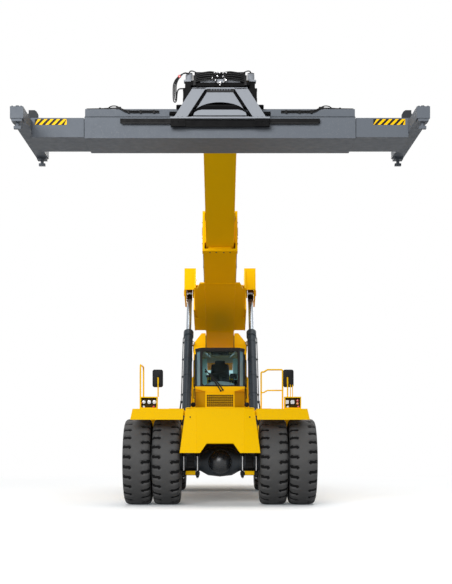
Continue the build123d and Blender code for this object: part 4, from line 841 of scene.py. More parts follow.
def add_mirrors():
    shells, glass, poles, joints = bmesh.new(), bmesh.new(), bmesh.new(), bmesh.new()
    low, high = 2.53, 2.905
    for x, pole_places in ((-1.32, ((-1.31, 0.015, 2.75),)),
                           (1.45, ((1.43, 0.015, 2.75), (1.49, 0.009, 2.58), (1.535, 0.009, 2.58)))):
        # a domed back that faces forwards and the glass that faces the driver
        rings = []
        for inset, y in ((0.006, -0.7365), (0.0, -0.745), (0.0, -0.766), (0.006, -0.782), (0.024, -0.791),
                         (0.060, -0.7945)):
            points = rounded_outline(0.112 - inset, (high - low) / 2 - inset, max(0.012, 0.045 - inset * 0.5))
            rings.append([shells.verts.new((x + a, y, (high + low) / 2 + b)) for a, b in points])
        put_skin(shells, rings)
        shells.faces.new(rings[-1])
        shells.faces.new(rings[0])
        put_prism(glass, [(-0.098, -0.17), (-0.085, -0.18), (0.085, -0.18), (0.098, -0.17), (0.098, 0.17),
                          (0.085, 0.18), (-0.085, 0.18), (-0.098, 0.17)], -0.7365, -0.7352,
                  upright(x, (high + low) / 2))
        for pole_x, radius, top in pole_places:
            put_bar(poles, (pole_x, -0.805, BOX_TOP), (pole_x, -0.805, top), radius, 20)
        put_lathe(joints, (x + (0.01 if x < 0 else -0.02), -0.79, 2.76), AHEAD,
                  [(0, 0.030), (0.012, 0.030), (0.020, 0.022), (0.034, 0.020), (0.038, 0.0)], 24)
        put_block(joints, (pole_places[0][0] - 0.02, pole_places[0][0] + 0.02), (-0.815, -0.79), (2.56, 2.60))
    add_piece("mirror_shells", "chassis", shells, BLACK, replaces=["mirrors"], angle=60)
    add_piece("mirror_glass", "chassis", glass, MIRROR)
    add_piece("mirror_poles", "chassis", poles, YELLOW)
    add_piece("mirror_joints", "chassis", joints, BLACK)


add_lamps()
add_mirrors()

# ---------------------------------------------------------------- cab

CAB_LOW, CAB_HIGH = corners("cab_shell")
CAB_FRONT, CAB_REAR, CAB_ROOF = CAB_LOW.y, CAB_HIGH.y, CAB_HIGH.z
CAB_FLOOR = CAB_LOW.z + 0.06
CAB_SILL = CAB_FLOOR + 0.37
NOSE_FRONT = lower_corner("cab_base").y
GRILLE_MIDDLE, GRILLE_PITCH_X, GRILLE_PITCH_Z, GRILLE_BAR = 2.33, 0.0485, 0.041, 0.0034


def add_cab_outside():
    front = CAB_FRONT
    # rubber seal round the front pane, and the dark edge of the roof
    middle = CAB_SILL + 0.442
    bm = bmesh.new()
    put_frame(bm, rounded_outline(0.452, 0.440, 0.05), rounded_outline(0.420, 0.405, 0.06), front - 0.006,
              front + 0.010, upright(0, middle))
    put_pair(bm, (0.430, 0.474), (front - 0.007, front + 0.004), (CAB_SILL + 0.012, CAB_ROOF - 0.06))
    add_piece("front_pane_seal", "chassis", bm, BLACK)
    bm = bmesh.new()
    plan = [(-0.476, -0.008), (0.476, -0.008), (0.602, 0.333), (0.602, 2.10), (-0.602, 2.10), (-0.602, 0.333)]
    inner = [(x * 0.93, y * 0.965 + 0.03) for x, y in plan]
    put_frame(bm, plan, inner, CAB_ROOF - 0.055, CAB_ROOF + 0.004, level(0, front))
    add_piece("roof_rim", "chassis", bm, BLACK, edge=0.004)
    bm = bmesh.new()
    inside = [(x * 0.90, 0.06 + y * 0.94) for x, y in plan]
    put_prism(bm, inside, CAB_ROOF - 0.002, CAB_ROOF + 0.012, level(0, front))
    for x in (-0.36, -0.18, 0.0, 0.18, 0.36):
        put_block(bm, (x - 0.03, x + 0.03), (front + 0.40, front + 1.86),
                  (CAB_ROOF + 0.010, CAB_ROOF + 0.019))
    add_piece("roof_skin", "chassis", bm, CAB_GREY, edge=0.003)
    # door seals and handles
    for side, s in SIDES:
        _, y0, z0 = lower_corner("cab_door_" + side)
        low, high = corners("door_glass_" + side)
        face = max(abs(low.x), abs(high.x)) + 0.0138
        mid_y, mid_z = (low.y + high.y) / 2, (low.z + high.z) / 2
        half_y, half_z = (high.y - low.y) / 2, (high.z - low.z) / 2
        bm = bmesh.new()
        put_frame(bm, rounded_outline(half_y + 0.022, half_z + 0.022, 0.04), rounded_outline(half_y - 0.014,
                  half_z - 0.014, 0.05), s * (face - 0.002), s * (face + 0.006), sideways(mid_y, mid_z))
        add_piece("door_seal_" + side, "cab_door_" + side, bm, BLACK)
        handle = bmesh.new()
        put_bar(handle, (s * (face + 0.028), y0 + 0.052, z0 + 0.14),
                (s * (face + 0.028), y0 + 0.052, z0 + 0.36), 0.008)
        for z in (z0 + 0.145, z0 + 0.355):
            put_bar(handle, (s * face, y0 + 0.052, z), (s * (face + 0.030), y0 + 0.052, z), 0.008)
        put_prism(handle, rounded_outline(0.024, 0.05, 0.012, 3), s * (face - 0.001), s * (face + 0.007),
                  sideways(y0 + 0.052, z0 + 0.44))
        add_piece("door_handle_" + side, "cab_door_" + side, handle, BLACK)
    # grab rails beside the front pane, yellow ones lower down, and the rubber bushes at the cab's front feet
    rails = both_sides([(0.598, 2.80, 3.33), (0.632, 2.79, 3.33), (0.640, 2.78, 3.31), (0.640, 2.76, 3.0),
                        (0.640, 2.75, 2.70), (0.632, 2.75, 2.672), (0.598, 2.75, 2.67)])
    yellow = both_sides([(0.655, 2.46, DECK_TOP - 0.02), (0.668, 2.45, 2.5), (0.672, 2.45, 2.84),
                         (0.676, 2.45, 2.90), (0.700, 2.45, 2.93), (0.722, 2.45, 2.90), (0.724, 2.45, 2.84),
                         (0.724, 2.45, DECK_TOP - 0.02)])
    add_tubes("cab_grab_rails", "chassis", BLACK, 0.011, rails)
    add_tubes("step_rails", "chassis", YELLOW, 0.010, yellow)
    bushes = bmesh.new()
    for s in (1, -1):
        put_lathe(bushes, (s * 0.640, 2.30, 2.235), AHEAD, [(-0.10, 0.040), (-0.01, 0.050), (0.0, 0.058),
                                                               (0.035, 0.058), (0.042, 0.045), (0.045, 0.0)],
                  28)
        put_bar(bushes, (s * 0.60, 2.34, 2.235), (s * 0.652, 2.34, 2.235), 0.022)
    add_piece("cab_bushes", "chassis", bushes, BLACK)
    # wiper: two arms from the brow to one blade
    brow = lower_corner("cab_base").y - 0.014
    blade_top, blade_low = Vector((-0.355, front - 0.024, 3.085)), Vector((-0.085, front - 0.024, 2.745))
    wiper = bmesh.new()
    for shift in (0.0, 0.050):
        foot = Vector((0.018 + shift, brow, 2.565 + shift * 0.4))
        knee = Vector((-0.062 + shift, brow - 0.002, 2.690 + shift * 0.4))
        put_lathe(wiper, foot + Vector((0, 0.020, 0)), AHEAD,
                  [(0, 0.022), (0.030, 0.022), (0.036, 0.012),
                                                                  (0.038, 0.0)], 16)
        put_bar(wiper, foot, knee, 0.015, 8)
        put_bar(wiper, knee, blade_top.lerp(blade_low, 0.30) + Vector((shift * 0.4, -0.014, shift * 0.3)),
                0.014, 8)
    put_bar(wiper, blade_top + Vector((0, -0.010, 0)), blade_low + Vector((0, -0.010, 0)), 0.012, 8)
    put_bar(wiper, blade_top + Vector((-0.004, 0.004, 0.010)), blade_low + Vector((0.004, 0.004, -0.010)),
            0.014, 8)
    put_lathe(wiper, (-0.338, front - 0.026, 3.03), AHEAD, [(0, 0.030), (0.016, 0.030), (0.02, 0.0)], 16)
    put_lathe(wiper, (-0.300, front - 0.026, 2.92), AHEAD, [(0, 0.036), (0.020, 0.036), (0.024, 0.0)],
              16)
    add_piece("wiper", "chassis", wiper, BLACK)
    # dark screen over the grille's holes, painted shade for their depth, with the grille's yellow bars in
    # front of it
    nose = CAB_FRONT - 0.140
    screen, bars = bmesh.new(), bmesh.new()
    heights = (GRILLE_MIDDLE - 0.143, GRILLE_MIDDLE + 0.143)
    put_block(screen, (-0.316, 0.316), (nose - 0.003, nose + 0.001), heights)
    for column in range(14):
        x = (column - 6.5) * GRILLE_PITCH_X
        put_block(bars, (x - GRILLE_BAR, x + GRILLE_BAR), (nose - 0.008, nose - 0.001), heights)
    for row in range(8):
        z = GRILLE_MIDDLE + (row - 3.5) * GRILLE_PITCH_Z
        put_block(bars, (-0.318, 0.318), (nose - 0.0075, nose - 0.001), (z - GRILLE_BAR, z + GRILLE_BAR))
    add_piece("grille_screen", "chassis", screen, RECESS_SHADE)
    add_piece("grille_bars", "chassis", bars, YELLOW)
    frame_bm = bmesh.new()
    put_frame(frame_bm, [(-0.326, -0.165), (0.326, -0.165), (0.326, 0.165), (-0.326, 0.165)],
              [(-0.314, -0.152), (0.314, -0.152), (0.314, 0.152), (-0.314, 0.152)], NOSE_FRONT + 0.004,
              NOSE_FRONT + 0.016, upright(0, GRILLE_MIDDLE))
    add_piece("grille_frame", "chassis", frame_bm, YELLOW, edge=0.002)


def rounded_cushion(name, body, size, place, tilt, channels):
    """A crowned cushion: a subdivided block whose faces swell, with sewn channels pressed into its front."""
    bm = bmesh.new()
    bmesh.ops.create_cube(bm, size=1.0)
    bmesh.ops.subdivide_edges(bm, edges=bm.edges, cuts=15, use_grid_fill=True)
    sx, sy, sz = size
    for vert in bm.verts:
        x, y, z = (2 * c for c in vert.co)
        # drawn in towards the corners, crowned in the middle
        square = 1 - 0.16 * (x * x * y * y + x * x * z * z + y * y * z * z) / 2
        crown = 1 + 0.10 * (1 - x * x) * (1 - y * y)
        vert.co = Vector((x * sx / 2 * square, y * sy / 2 * square, z * sz / 2 * square * crown))
        if z > 0.9:
            for channel in channels:
                vert.co.z -= 0.010 * math.exp(-((y - channel) / 0.045) ** 2)
            vert.co.z -= 0.008 * math.exp(-((abs(x) - 0.70) / 0.045) ** 2)
    piece = add_piece(name, body, bm, FABRIC, place=Matrix.Translation(place) @ Matrix.Rotation(tilt, 4, "X"),
                      angle=180, replaces=["operator_seat"])
    smooth = piece.modifiers.new("smooth", "SUBSURF")
    smooth.levels = smooth.render_levels = 1
    return piece


def add_cab_inside():
    y = lower_corner("operator_seat").y + 0.27
    floor = CAB_FLOOR
    rounded_cushion("seat_cushion", "chassis", (0.50, 0.50, 0.13), Vector((0, y - 0.012, floor + 0.378)), 0.0,
                    (-0.35, 0.1, 0.5))
    rounded_cushion("seat_back", "chassis", (0.47, 0.62, 0.10), Vector((0, y + 0.262, floor + 0.700)),
                    math.radians(80), (-0.6, -0.25, 0.1, 0.45))
    rounded_cushion("head_rest", "chassis", (0.26, 0.17, 0.075), Vector((0, y + 0.318, floor + 1.000)),
                    math.radians(82), (0.0,))
    stand = bmesh.new()
    put_prism(stand, rounded_outline(0.19, 0.17, 0.04, 4), floor + 0.004, floor + 0.05, level(0, y))
    for i in range(6):
        put_prism(stand, rounded_outline(0.165 - 0.006 * (i % 2), 0.15 - 0.006 * (i % 2), 0.04, 4),
                  floor + 0.05 + i * 0.028, floor + 0.078 + i * 0.028, level(0, y))
    put_prism(stand, rounded_outline(0.22, 0.21, 0.03, 4), floor + 0.218, floor + 0.315, level(0, y - 0.01))
    add_piece("seat_suspension", "chassis", stand, BLACK, edge=0.004, replaces=["operator_seat"])
    # arm rests with their levers
    arms, levers = bmesh.new(), bmesh.new()
    for s in (1, -1):
        put_prism(arms, rounded_outline(0.035, 0.18, 0.03, 5), floor + 0.53, floor + 0.575,
                  level(s * 0.265, y + 0.03))
        put_bar(arms, (s * 0.262, y + 0.17, floor + 0.36), (s * 0.262, y + 0.19, floor + 0.54), 0.016)
        put_bar(levers, (s * 0.265, y - 0.10, floor + 0.575), (s * 0.262, y - 0.115, floor + 0.66), 0.010, 12)
        put_lathe(levers, (s * 0.262, y - 0.113, floor + 0.645), (0, -0.15, 1), [(0, 0.012), (0.02, 0.024),
                                                                                  (0.05, 0.024),
                                                                                 (0.065, 0.012),
                                                                                 (0.068, 0.0)], 20)
    add_piece("arm_rests", "chassis", arms, BLACK, edge=0.006)
    add_piece("hand_levers", "chassis", levers, BLACK)
    # dashboard that follows the front pane, a display, side shelves and the headliner
    dash = bmesh.new()
    section = [(0.075, 0.0), (0.30, 0.0), (0.32, 0.05), (0.25, 0.15), (0.14, 0.20), (0.075, 0.18)]
    put_prism(dash, section, -0.40, 0.40, sideways(CAB_FRONT, CAB_SILL - 0.20))
    put_pair(dash, (0.44, 0.536), (CAB_FRONT + 0.42, CAB_REAR - 0.10), (CAB_SILL - 0.22, CAB_SILL - 0.02))
    add_piece("dashboard", "chassis", dash, BLACK, edge=0.015)
    panels = bmesh.new()
    arc = [(0.36 * math.cos(math.radians(a)), 0.115 * math.sin(math.radians(a))) for a in range(0, 181, 12)]
    put_prism(panels, arc, 0.0, 0.012,
              lambda a, b, h: Vector((a, CAB_FRONT + 0.070 - h, CAB_SILL + 0.020 + b)))
    add_piece("dash_tray", "chassis", panels, PALE, edge=0.004, slot="cab_grey")
    display = bmesh.new()
    put_prism(display, rounded_outline(0.085, 0.065, 0.012, 3), 0.0, 0.035,
              lambda a, b, h: Vector((0.33 + a, CAB_FRONT + 0.55 + h, CAB_SILL + 0.28 + b)))
    put_bar(display, (0.33, CAB_FRONT + 0.57, CAB_SILL - 0.03), (0.33, CAB_FRONT + 0.57, CAB_SILL + 0.22),
            0.012)
    add_piece("operator_display", "chassis", display, BLACK, edge=0.003)
    lining = bmesh.new()
    put_block(lining, (-0.50, 0.50), (CAB_FRONT + 0.45, CAB_REAR - 0.06),
              (CAB_ROOF - 0.105, CAB_ROOF - 0.072))
    put_block(lining, (-0.42, 0.42), (CAB_REAR - 0.085, CAB_REAR - 0.052),
              (CAB_ROOF - 0.235, CAB_ROOF - 0.105))
    add_piece("headliner", "chassis", lining, LINING, edge=0.008)
    # pale panels in the cab's rear corners, painted light like the backdrop seen through the rear window
    panels = bmesh.new()
    put_pair(panels, (0.335, 0.515), (CAB_REAR - 0.100, CAB_REAR - 0.088), (CAB_SILL - 0.02, CAB_ROOF - 0.12))
    add_piece("rear_corner_panels", "chassis", panels, CORNER_PAINTED_LIGHT, edge=0.004)
    # sun blind with its two light gussets in the upper corners
    blind = bmesh.new()
    put_block(blind, (-0.21, 0.21), (CAB_FRONT + 0.070, CAB_FRONT + 0.078),
              (CAB_ROOF - 0.175, CAB_ROOF - 0.075))
    put_bar(blind, (-0.30, CAB_FRONT + 0.078, CAB_ROOF - 0.155), (0.30, CAB_FRONT + 0.078, CAB_ROOF - 0.155),
            0.009)
    add_piece("sun_blind", "chassis", blind, CAB_TRIM, edge=0.003)
    gussets = bmesh.new()
    for s in (1, -1):
        put_prism(gussets, [(s * 0.415, -0.085), (s * 0.345, -0.078), (s * 0.215, -0.225),
                            (s * 0.240, -0.235)], CAB_FRONT + 0.052, CAB_FRONT + 0.060, upright(0, CAB_ROOF))
    add_piece("blind_gussets", "chassis", gussets, PALE, edge=0.002, slot="cab_grey")


add_cab_outside()
add_cab_inside()

# ---------------------------------------------------------------- lift cylinders

LIFT_X = (lower_corner("lift_barrel_left").x + upper_corner("lift_barrel_left").x) / 2
LIFT_FOOT = Vector((0.0, 1.10, 1.60))
LIFT_ANGLE = math.radians(47.39)
LIFT_RUN = Vector((0, math.cos(LIFT_ANGLE), math.sin(LIFT_ANGLE)))
LIFT_RISE = Vector((0, -math.sin(LIFT_ANGLE), math.cos(LIFT_ANGLE)))
BARREL = 0.105


def on_barrel(side, along, out=0.0, up=0.0):
    """A place beside a lift cylinder: along it from its foot, outwards, and square to both."""
    return LIFT_FOOT + Vector((side * (LIFT_X + out), 0, 0)) + LIFT_RUN * along + LIFT_RISE * up


def add_cylinder_parts():
    for side, s in SIDES:
        body = "lift_barrel_" + side
        # oil pipe outside the barrel, from the gland down to a hose union
        pipe = [on_barrel(s, 3.16, 0.085, 0.03), on_barrel(s, 3.13, 0.128, 0.02), on_barrel(s, 3.02, 0.129),
                on_barrel(s, 1.2, 0.129), on_barrel(s, 0.95, 0.129)]
        add_tubes("lift_pipe_" + side, body, STEEL_DARK, 0.013, [pipe])
        hose = [on_barrel(s, 0.95, 0.129), on_barrel(s, 0.80, 0.142), on_barrel(s, 0.62, 0.158, -0.02),
                Vector((s * (LIFT_X + 0.165), 1.42, 2.10)), Vector((s * (LIFT_X + 0.150), 1.32, 1.90)),
                Vector((s * (LIFT_X + 0.110), 1.22, 1.76))]
        add_tubes("lift_hose_" + side, body, HOSE, 0.017, [hose])
        bm = bmesh.new()
        for along in (1.15, 1.75, 2.35, 2.95):
            put_lathe(bm, on_barrel(s, along), LIFT_RUN,
                      [(0, BARREL), (0.0, BARREL + 0.006), (0.03, BARREL + 0.006),
                                                           (0.03, BARREL)], 40)
            put_lathe(bm, on_barrel(s, along, 0.127), LIFT_RUN, [(0, 0.013), (0, 0.019), (0.03, 0.019),
                                                                 (0.03, 0.013)], 16)
        put_lathe(bm, on_barrel(s, 0.93, 0.129), LIFT_RUN,
                  [(-0.03, 0.017), (-0.03, 0.024), (0.03, 0.024), (0.03, 0.017)], 6)
        add_piece("lift_clamps_" + side, body, bm, DARK)
        # bolts of the gland
        bm = bmesh.new()
        put_bolts(bm, on_barrel(s, 3.34), LIFT_RUN, 0.096, 12, 0.010, 0.012, washer=False)
        put_lathe(bm, on_barrel(s, 3.338), LIFT_RUN,
                  [(0, 0.084), (0.010, 0.082), (0.016, 0.066), (0.016, 0.0642)], 40)
        add_piece("gland_bolts_" + side, body, bm, DARK)
        # the weld where the barrel meets its gland
        bm = bmesh.new()
        put_lathe(bm, on_barrel(s, 3.150), LIFT_RUN,
                  [(0, BARREL), (0.006, BARREL + 0.009), (0.014, BARREL + 0.012),
                                                       (0.020, BARREL)], 40)
        add_piece("gland_weld_" + side, body, bm, DARK)
        # the dark head of the rod, whose eye is 0.125 in radius
        high = upper_corner("lift_rod_" + side)
        eye = Vector((0, high.y - 0.125, high.z - 0.125))
        length = math.dist(eye.yz, LIFT_FOOT.yz)
        bm = bmesh.new()
        put_lathe(bm, on_barrel(s, length - 0.30), LIFT_RUN, [(0, 0.0634), (0.004, 0.069), (0.16, 0.069),
                                                              (0.185, 0.0634)], 32)
        add_piece("rod_head_" + side, "lift_rod_" + side, bm, BLACK, slot="dark_paint")
        # pin caps
        bm = bmesh.new()
        cap_x = upper_corner("boom_base").x
        put_lathe(bm, eye + Vector((s * (cap_x - 0.012), 0, 0)), (s, 0, 0),
                  [(0.0, 0.055), (0.008, 0.052), (0.010, 0.0)], 32)
        put_bolts(bm, eye + Vector((s * (cap_x - 0.006), 0, 0)), (s, 0, 0), 0.034, 4, 0.007, 0.006,
                  washer=False, start=math.pi / 4)
        add_piece("lift_pin_cap_" + side, "boom", bm, DARK)


add_cylinder_parts()

# ---------------------------------------------------------------- boom

BOOM_PIVOT = Vector((0.0, 6.90, 3.95))
BOOM_ANGLE = math.radians(15.7)
BEAD_END = 7.16         # where the weld beads of the outer boom end, along it from the pivot


def on_boom(x, s, n):
    """A place in the boom's frame: s along it from the pivot, n square to it."""
    return BOOM_PIVOT + Vector((x, -s * math.cos(BOOM_ANGLE) + n * math.sin(BOOM_ANGLE),
                                s * math.sin(BOOM_ANGLE) + n * math.cos(BOOM_ANGLE)))


def add_boom_parts():
    beads = bmesh.new()
    for s in (1, -1):
        for x, n, radius in ((s * 0.354, -0.434, 0.006), (s * 0.361, 0.40, 0.005)):
            put_bar(beads, on_boom(x, -0.60, n), on_boom(x, BEAD_END, n), radius, 8)
    for at in (2.39, 5.52):
        put_bar(beads, on_boom(-0.36, at, -0.4345), on_boom(0.36, at, -0.4345), 0.006, 8)
    add_piece("boom_welds", "boom", beads, YELLOW)
    webs = bmesh.new()
    for s in (1, -1):
        put_box(webs, [on_boom(s * x, at, n) for x in (0.50, 0.612) for at in (3.30, 5.18) for n in (-0.403,
                                                                                                     -0.396)])
    add_piece("lug_webs", "boom", webs, YELLOW, edge=0.002)
    beads = bmesh.new()
    for x in (0.294, -0.294):
        for n in (-0.361, 0.381):
            put_bar(beads, on_boom(x, 7.5, n), on_boom(x, 12.4, n), 0.005, 8)
    put_bar(beads, on_boom(-0.30, 12.45, 0.377), on_boom(0.30, 12.45, 0.377), 0.006, 8)
    add_piece("inner_boom_welds", "boom_extension", beads, YELLOW)
    # bolts round the collar
    bolts = bmesh.new()
    for s in (1, -1):
        for n in (-0.25, -0.12, 0.12, 0.25):
            put_bolt(bolts, on_boom(s * 0.381, 7.26, n), (s, 0, 0), 0.014)
    up = on_boom(0, 0, 1) - on_boom(0, 0, 0)
    for x in (-0.22, -0.08, 0.08, 0.22):
        put_bolt(bolts, on_boom(x, 7.26, 0.491), up, 0.014)
        put_bolt(bolts, on_boom(x, 7.26, -0.4545), -up, 0.014)
    add_piece("collar_bolts", "boom", bolts, DARK)
    # oil pipes along the boom's sides with their clamps
    runs, clamps = [], bmesh.new()
    for s in (1, -1):
        for n in (0.16, 0.215, 0.27):
            runs.append([on_boom(s * 0.350, 1.60, n), on_boom(s * 0.380, 1.63, n),
                         on_boom(s * 0.382, 1.72, n),
                         on_boom(s * 0.382, 6.9, n), on_boom(s * 0.380, 7.0, n), on_boom(s * 0.350, 7.03, n)])
        for at in (1.75, 4.1, 5.1, 6.1, 6.85):
            put_box(clamps, [on_boom(s * x, at + a, n) for x in (0.360, 0.398) for a in (0.0, 0.05)
                             for n in (0.135, 0.295)])
    add_tubes("boom_pipes", "boom", STEEL_DARK, 0.012, runs)
    add_piece("boom_pipe_clamps", "boom", clamps, BLACK, edge=0.004)
    # pivot caps at the towers
    caps = bmesh.new()
    for s in (1, -1):
        put_lathe(caps, BOOM_PIVOT + Vector((s * 0.730, 0, 0)), (s, 0, 0),
                  [(0.0, 0.165), (0.012, 0.162), (0.014, 0.120), (0.022, 0.115), (0.024, 0.0)], 40)
        put_bolts(caps, BOOM_PIVOT + Vector((s * 0.743, 0, 0)), (s, 0, 0), 0.142, 8, 0.011, washer=False)
    add_piece("pivot_caps", "chassis", caps, DARK)


def add_tower_hoses():
    """Hoses up the inner front edges of the towers."""
    run = [(0.386, 6.42, 2.55), (0.386, 6.40, 3.0), (0.386, 6.43, 3.5), (0.386, 6.47, 3.90),
           (0.386, 6.55, 4.10), (0.386, 6.62, 4.26)]
    add_tubes("tower_hoses", "chassis", HOSE, 0.012, both_sides(run))


add_boom_parts()
add_tower_hoses()

# ---------------------------------------------------------------- hood, decks and tanks

HOOD_LOW, HOOD_HIGH = corners("cooler_hood")
TREAD_PITCH = 0.105     # spacing of the raised bars on the decks


def add_hood_parts():
    # louvres and latches on the service doors
    for side, s in SIDES:
        low, high = corners("service_door_" + side)
        face = max(abs(low.x), abs(high.x))
        bm = bmesh.new()
        for i in range(11):
            z = low.z + 0.14 + i * 0.046
            for y0, y1 in ((low.y + 0.10, (low.y + high.y) / 2 - 0.03),
                           ((low.y + high.y) / 2 + 0.03, high.y - 0.10)):
                put_prism(bm, [(face - 0.001, z), (face - 0.001, z + 0.030), (face + 0.014, z + 0.004),
                               (face + 0.014, z)], y0, y1, lambda a, b, h: Vector((s * a, h, b)))
        add_piece("louvres_" + side, "service_door_" + side, bm, YELLOW, edge=0.0015)
        bm = bmesh.new()
        for y in (low.y + 0.09, high.y - 0.09):
            put_prism(bm, rounded_outline(0.032, 0.05, 0.012, 3), face - 0.001, face + 0.006,
                      lambda a, b, h: Vector((s * h, y + a, high.z - 0.09 + b)))
            grip, z = s * (face + 0.018), high.z - 0.075
            put_bar(bm, (grip, y - 0.02, z), (grip, y + 0.02, z), 0.006)
            for shift in (-0.018, 0.018):
                put_bar(bm, (s * face, y + shift, z), (grip, y + shift, z), 0.005)
        add_piece("latches_" + side, "service_door_" + side, bm, BLACK)
    # the fan guard behind the hood: rings on twelve spokes, in a hoop
    bm = bmesh.new()
    centre = Vector((0, HOOD_HIGH.y + 0.012, (DECK_TOP + HOOD_HIGH.z) / 2))
    for i in range(9):
        radius = 0.06 + i * 0.042
        put_lathe(bm, centre, ASTERN, [(-0.004, radius - 0.004), (0.0, radius), (0.004, radius - 0.004),
                                          (-0.004, radius - 0.004)], 48)
    for place in round_places(centre, ASTERN, 0.41, 12):
        put_bar(bm, centre, place, 0.004, 8)
    put_lathe(bm, centre, ASTERN, [(-0.014, 0.40), (-0.014, 0.435), (0.006, 0.435), (0.008, 0.40)], 48)
    add_piece("fan_guard", "chassis", bm, BLACK)
    # ribs and plugs on the hood's roof
    bm = bmesh.new()
    for x in (-0.45, 0.45):
        for y in (HOOD_LOW.y + 0.14, HOOD_HIGH.y - 0.14):
            put_lathe(bm, (x, y, HOOD_HIGH.z - 0.006), UP, [(0, 0.05), (0.01, 0.05), (0.014, 0.03),
                                                                   (0.014, 0.0)], 24)
    for y in (HOOD_LOW.y + 0.35, HOOD_HIGH.y - 0.35):
        put_block(bm, (-0.60, 0.60), (y - 0.03, y + 0.03), (HOOD_HIGH.z - 0.004, HOOD_HIGH.z + 0.010))
    add_piece("hood_ribs", "chassis", bm, YELLOW, edge=0.004)


def add_deck_parts():
    # raised anti-slip bars on the decks, and the bolts that hold the deck plates
    bm, bolts = bmesh.new(), bmesh.new()
    for s in (1, -1):
        for y0, y1, x0, x1 in ((-0.60, 0.62, 0.90, 1.28), (0.78, 2.20, 1.02, 1.74), (2.42, 3.60, 0.80, 1.74),
                               (4.40, 6.90, 0.98, 1.74)):
            rows, columns = int((y1 - y0) / TREAD_PITCH), int((x1 - x0) / TREAD_PITCH)
            for i in range(rows):
                for j in range(columns):
                    y = y0 + (i + 0.5) * (y1 - y0) / rows
                    x = x0 + (j + 0.5) * (x1 - x0) / columns
                    half_x, half_y = (0.030, 0.007) if (i + j) % 2 else (0.007, 0.030)
                    put_block(bm, (s * (x - half_x), s * (x + half_x)), (y - half_y, y + half_y),
                              (DECK_TOP - 0.001, DECK_TOP + 0.004))
        for y in (0.0, 1.4, 2.8, 4.9, 6.3):
            for x in (1.06, 1.77):
                put_lathe(bolts, (s * x, y, DECK_TOP - 0.001), UP,
                          [(0, 0.016), (0.004, 0.014), (0.007, 0.008),
                                                                          (0.007, 0.0)], 16)
    add_piece("deck_tread", "chassis", bm, YELLOW)
    add_piece("deck_bolts", "chassis", bolts, DARK)


def add_tank_parts():
    for node, s in (("fuel_tank", 1), ("hydraulic_tank", -1)):
        low, high = corners(node)
        face = max(abs(low.x), abs(high.x))
        straps = bmesh.new()
        for y in (low.y + 0.32, (low.y + high.y) / 2, high.y - 0.32):
            put_block(straps, (s * (face - 0.002), s * (face + 0.005)), (y - 0.035, y + 0.035),
                      (low.z + 0.06, high.z - 0.06))
            for z in (low.z + 0.10, high.z - 0.10):
                put_bolt(straps, (s * (face + 0.004), y, z), (s, 0, 0), 0.011)
        add_piece(node + "_straps", "chassis", straps, DARK, edge=0.002)
        fittings = bmesh.new()
        y = low.y + 0.16
        put_lathe(fittings, (s * (face - 0.012), y, high.z - 0.20), (s, 0, 0),
                  [(0, 0.055), (0.014, 0.055), (0.016, 0.042), (0.040, 0.042), (0.046, 0.036), (0.047, 0.0)],
                  28)
        for place in round_places((s * (face + 0.012), y, high.z - 0.20), (s, 0, 0), 0.042, 10):
            put_bar(fittings, place, place + Vector((s * 0.020, 0, 0)), 0.005, 8)
        put_block(fittings, (s * (face - 0.001), s * (face + 0.010)), (high.y - 0.18, high.y - 0.15),
                  (low.z + 0.25, high.z - 0.30))
        put_lathe(fittings, (s * (face - 0.006), high.y - 0.10, low.z + 0.10), (s, 0, 0),
                  [(0, 0.03), (0.014, 0.03), (0.016, 0.02), (0.026, 0.02), (0.027, 0.0)], 6)
        add_piece(node + "_fittings", "chassis", fittings, BLACK)


def add_counterweight_parts():
    low, high = corners("counterweight")
    # floor and back of the notches at the counterweight's corners, and the rear of the lamp boxes in them
    shelf, wall = high.z - 0.160, high.y - 0.330
    face = wall + 0.080
    boxes, shells, red, amber, clear = (bmesh.new() for _ in range(5))
    for s in (1, -1):
        middle = s * (high.x - 0.395)
        put_block(boxes, (middle - 0.20, middle + 0.20), (wall - 0.003, face), (shelf - 0.003, shelf + 0.150))
        for offset, lens in ((0.115, red), (0.0, amber), (-0.115, clear)):
            place = (middle + s * offset, face - 0.002, shelf + 0.075)
            put_lathe(shells, place, ASTERN, [(0, 0.052), (0.018, 0.052), (0.020, 0.044), (0.012, 0.042)],
                      28)
            put_lathe(lens, place, ASTERN, [(0, 0.043), (0.014, 0.043), (0.020, 0.024), (0.0205, 0.0)], 28)
        # covers over the lifting eyes
        put_lathe(shells, (s * (high.x - 0.45), (low.y + high.y) / 2, high.z - 0.004), UP,
                  [(0, 0.085), (0.012, 0.082), (0.014, 0.05), (0.006, 0.045), (0.006, 0.0)], 32)
    add_piece("tail_lamp_boxes", "chassis", boxes, DARK, edge=0.012)
    add_piece("tail_lamp_housings", "chassis", shells, BLACK)
    add_piece("tail_lamp_red", "chassis", red, RED_LENS)
    add_piece("tail_lamp_amber", "chassis", amber, AMBER_LENS)
    add_piece("tail_lamp_clear", "chassis", clear, CLEAR_LENS)


add_hood_parts()
add_deck_parts()
add_tank_parts()
add_counterweight_parts()

# ---------------------------------------------------------------- spreader

HEAD = Vector((0.0, -7.2392, 6.9001))
TOP_BOX_HALF = 0.38
BEAM_HEAD_FRONT = HEAD.y - 0.44


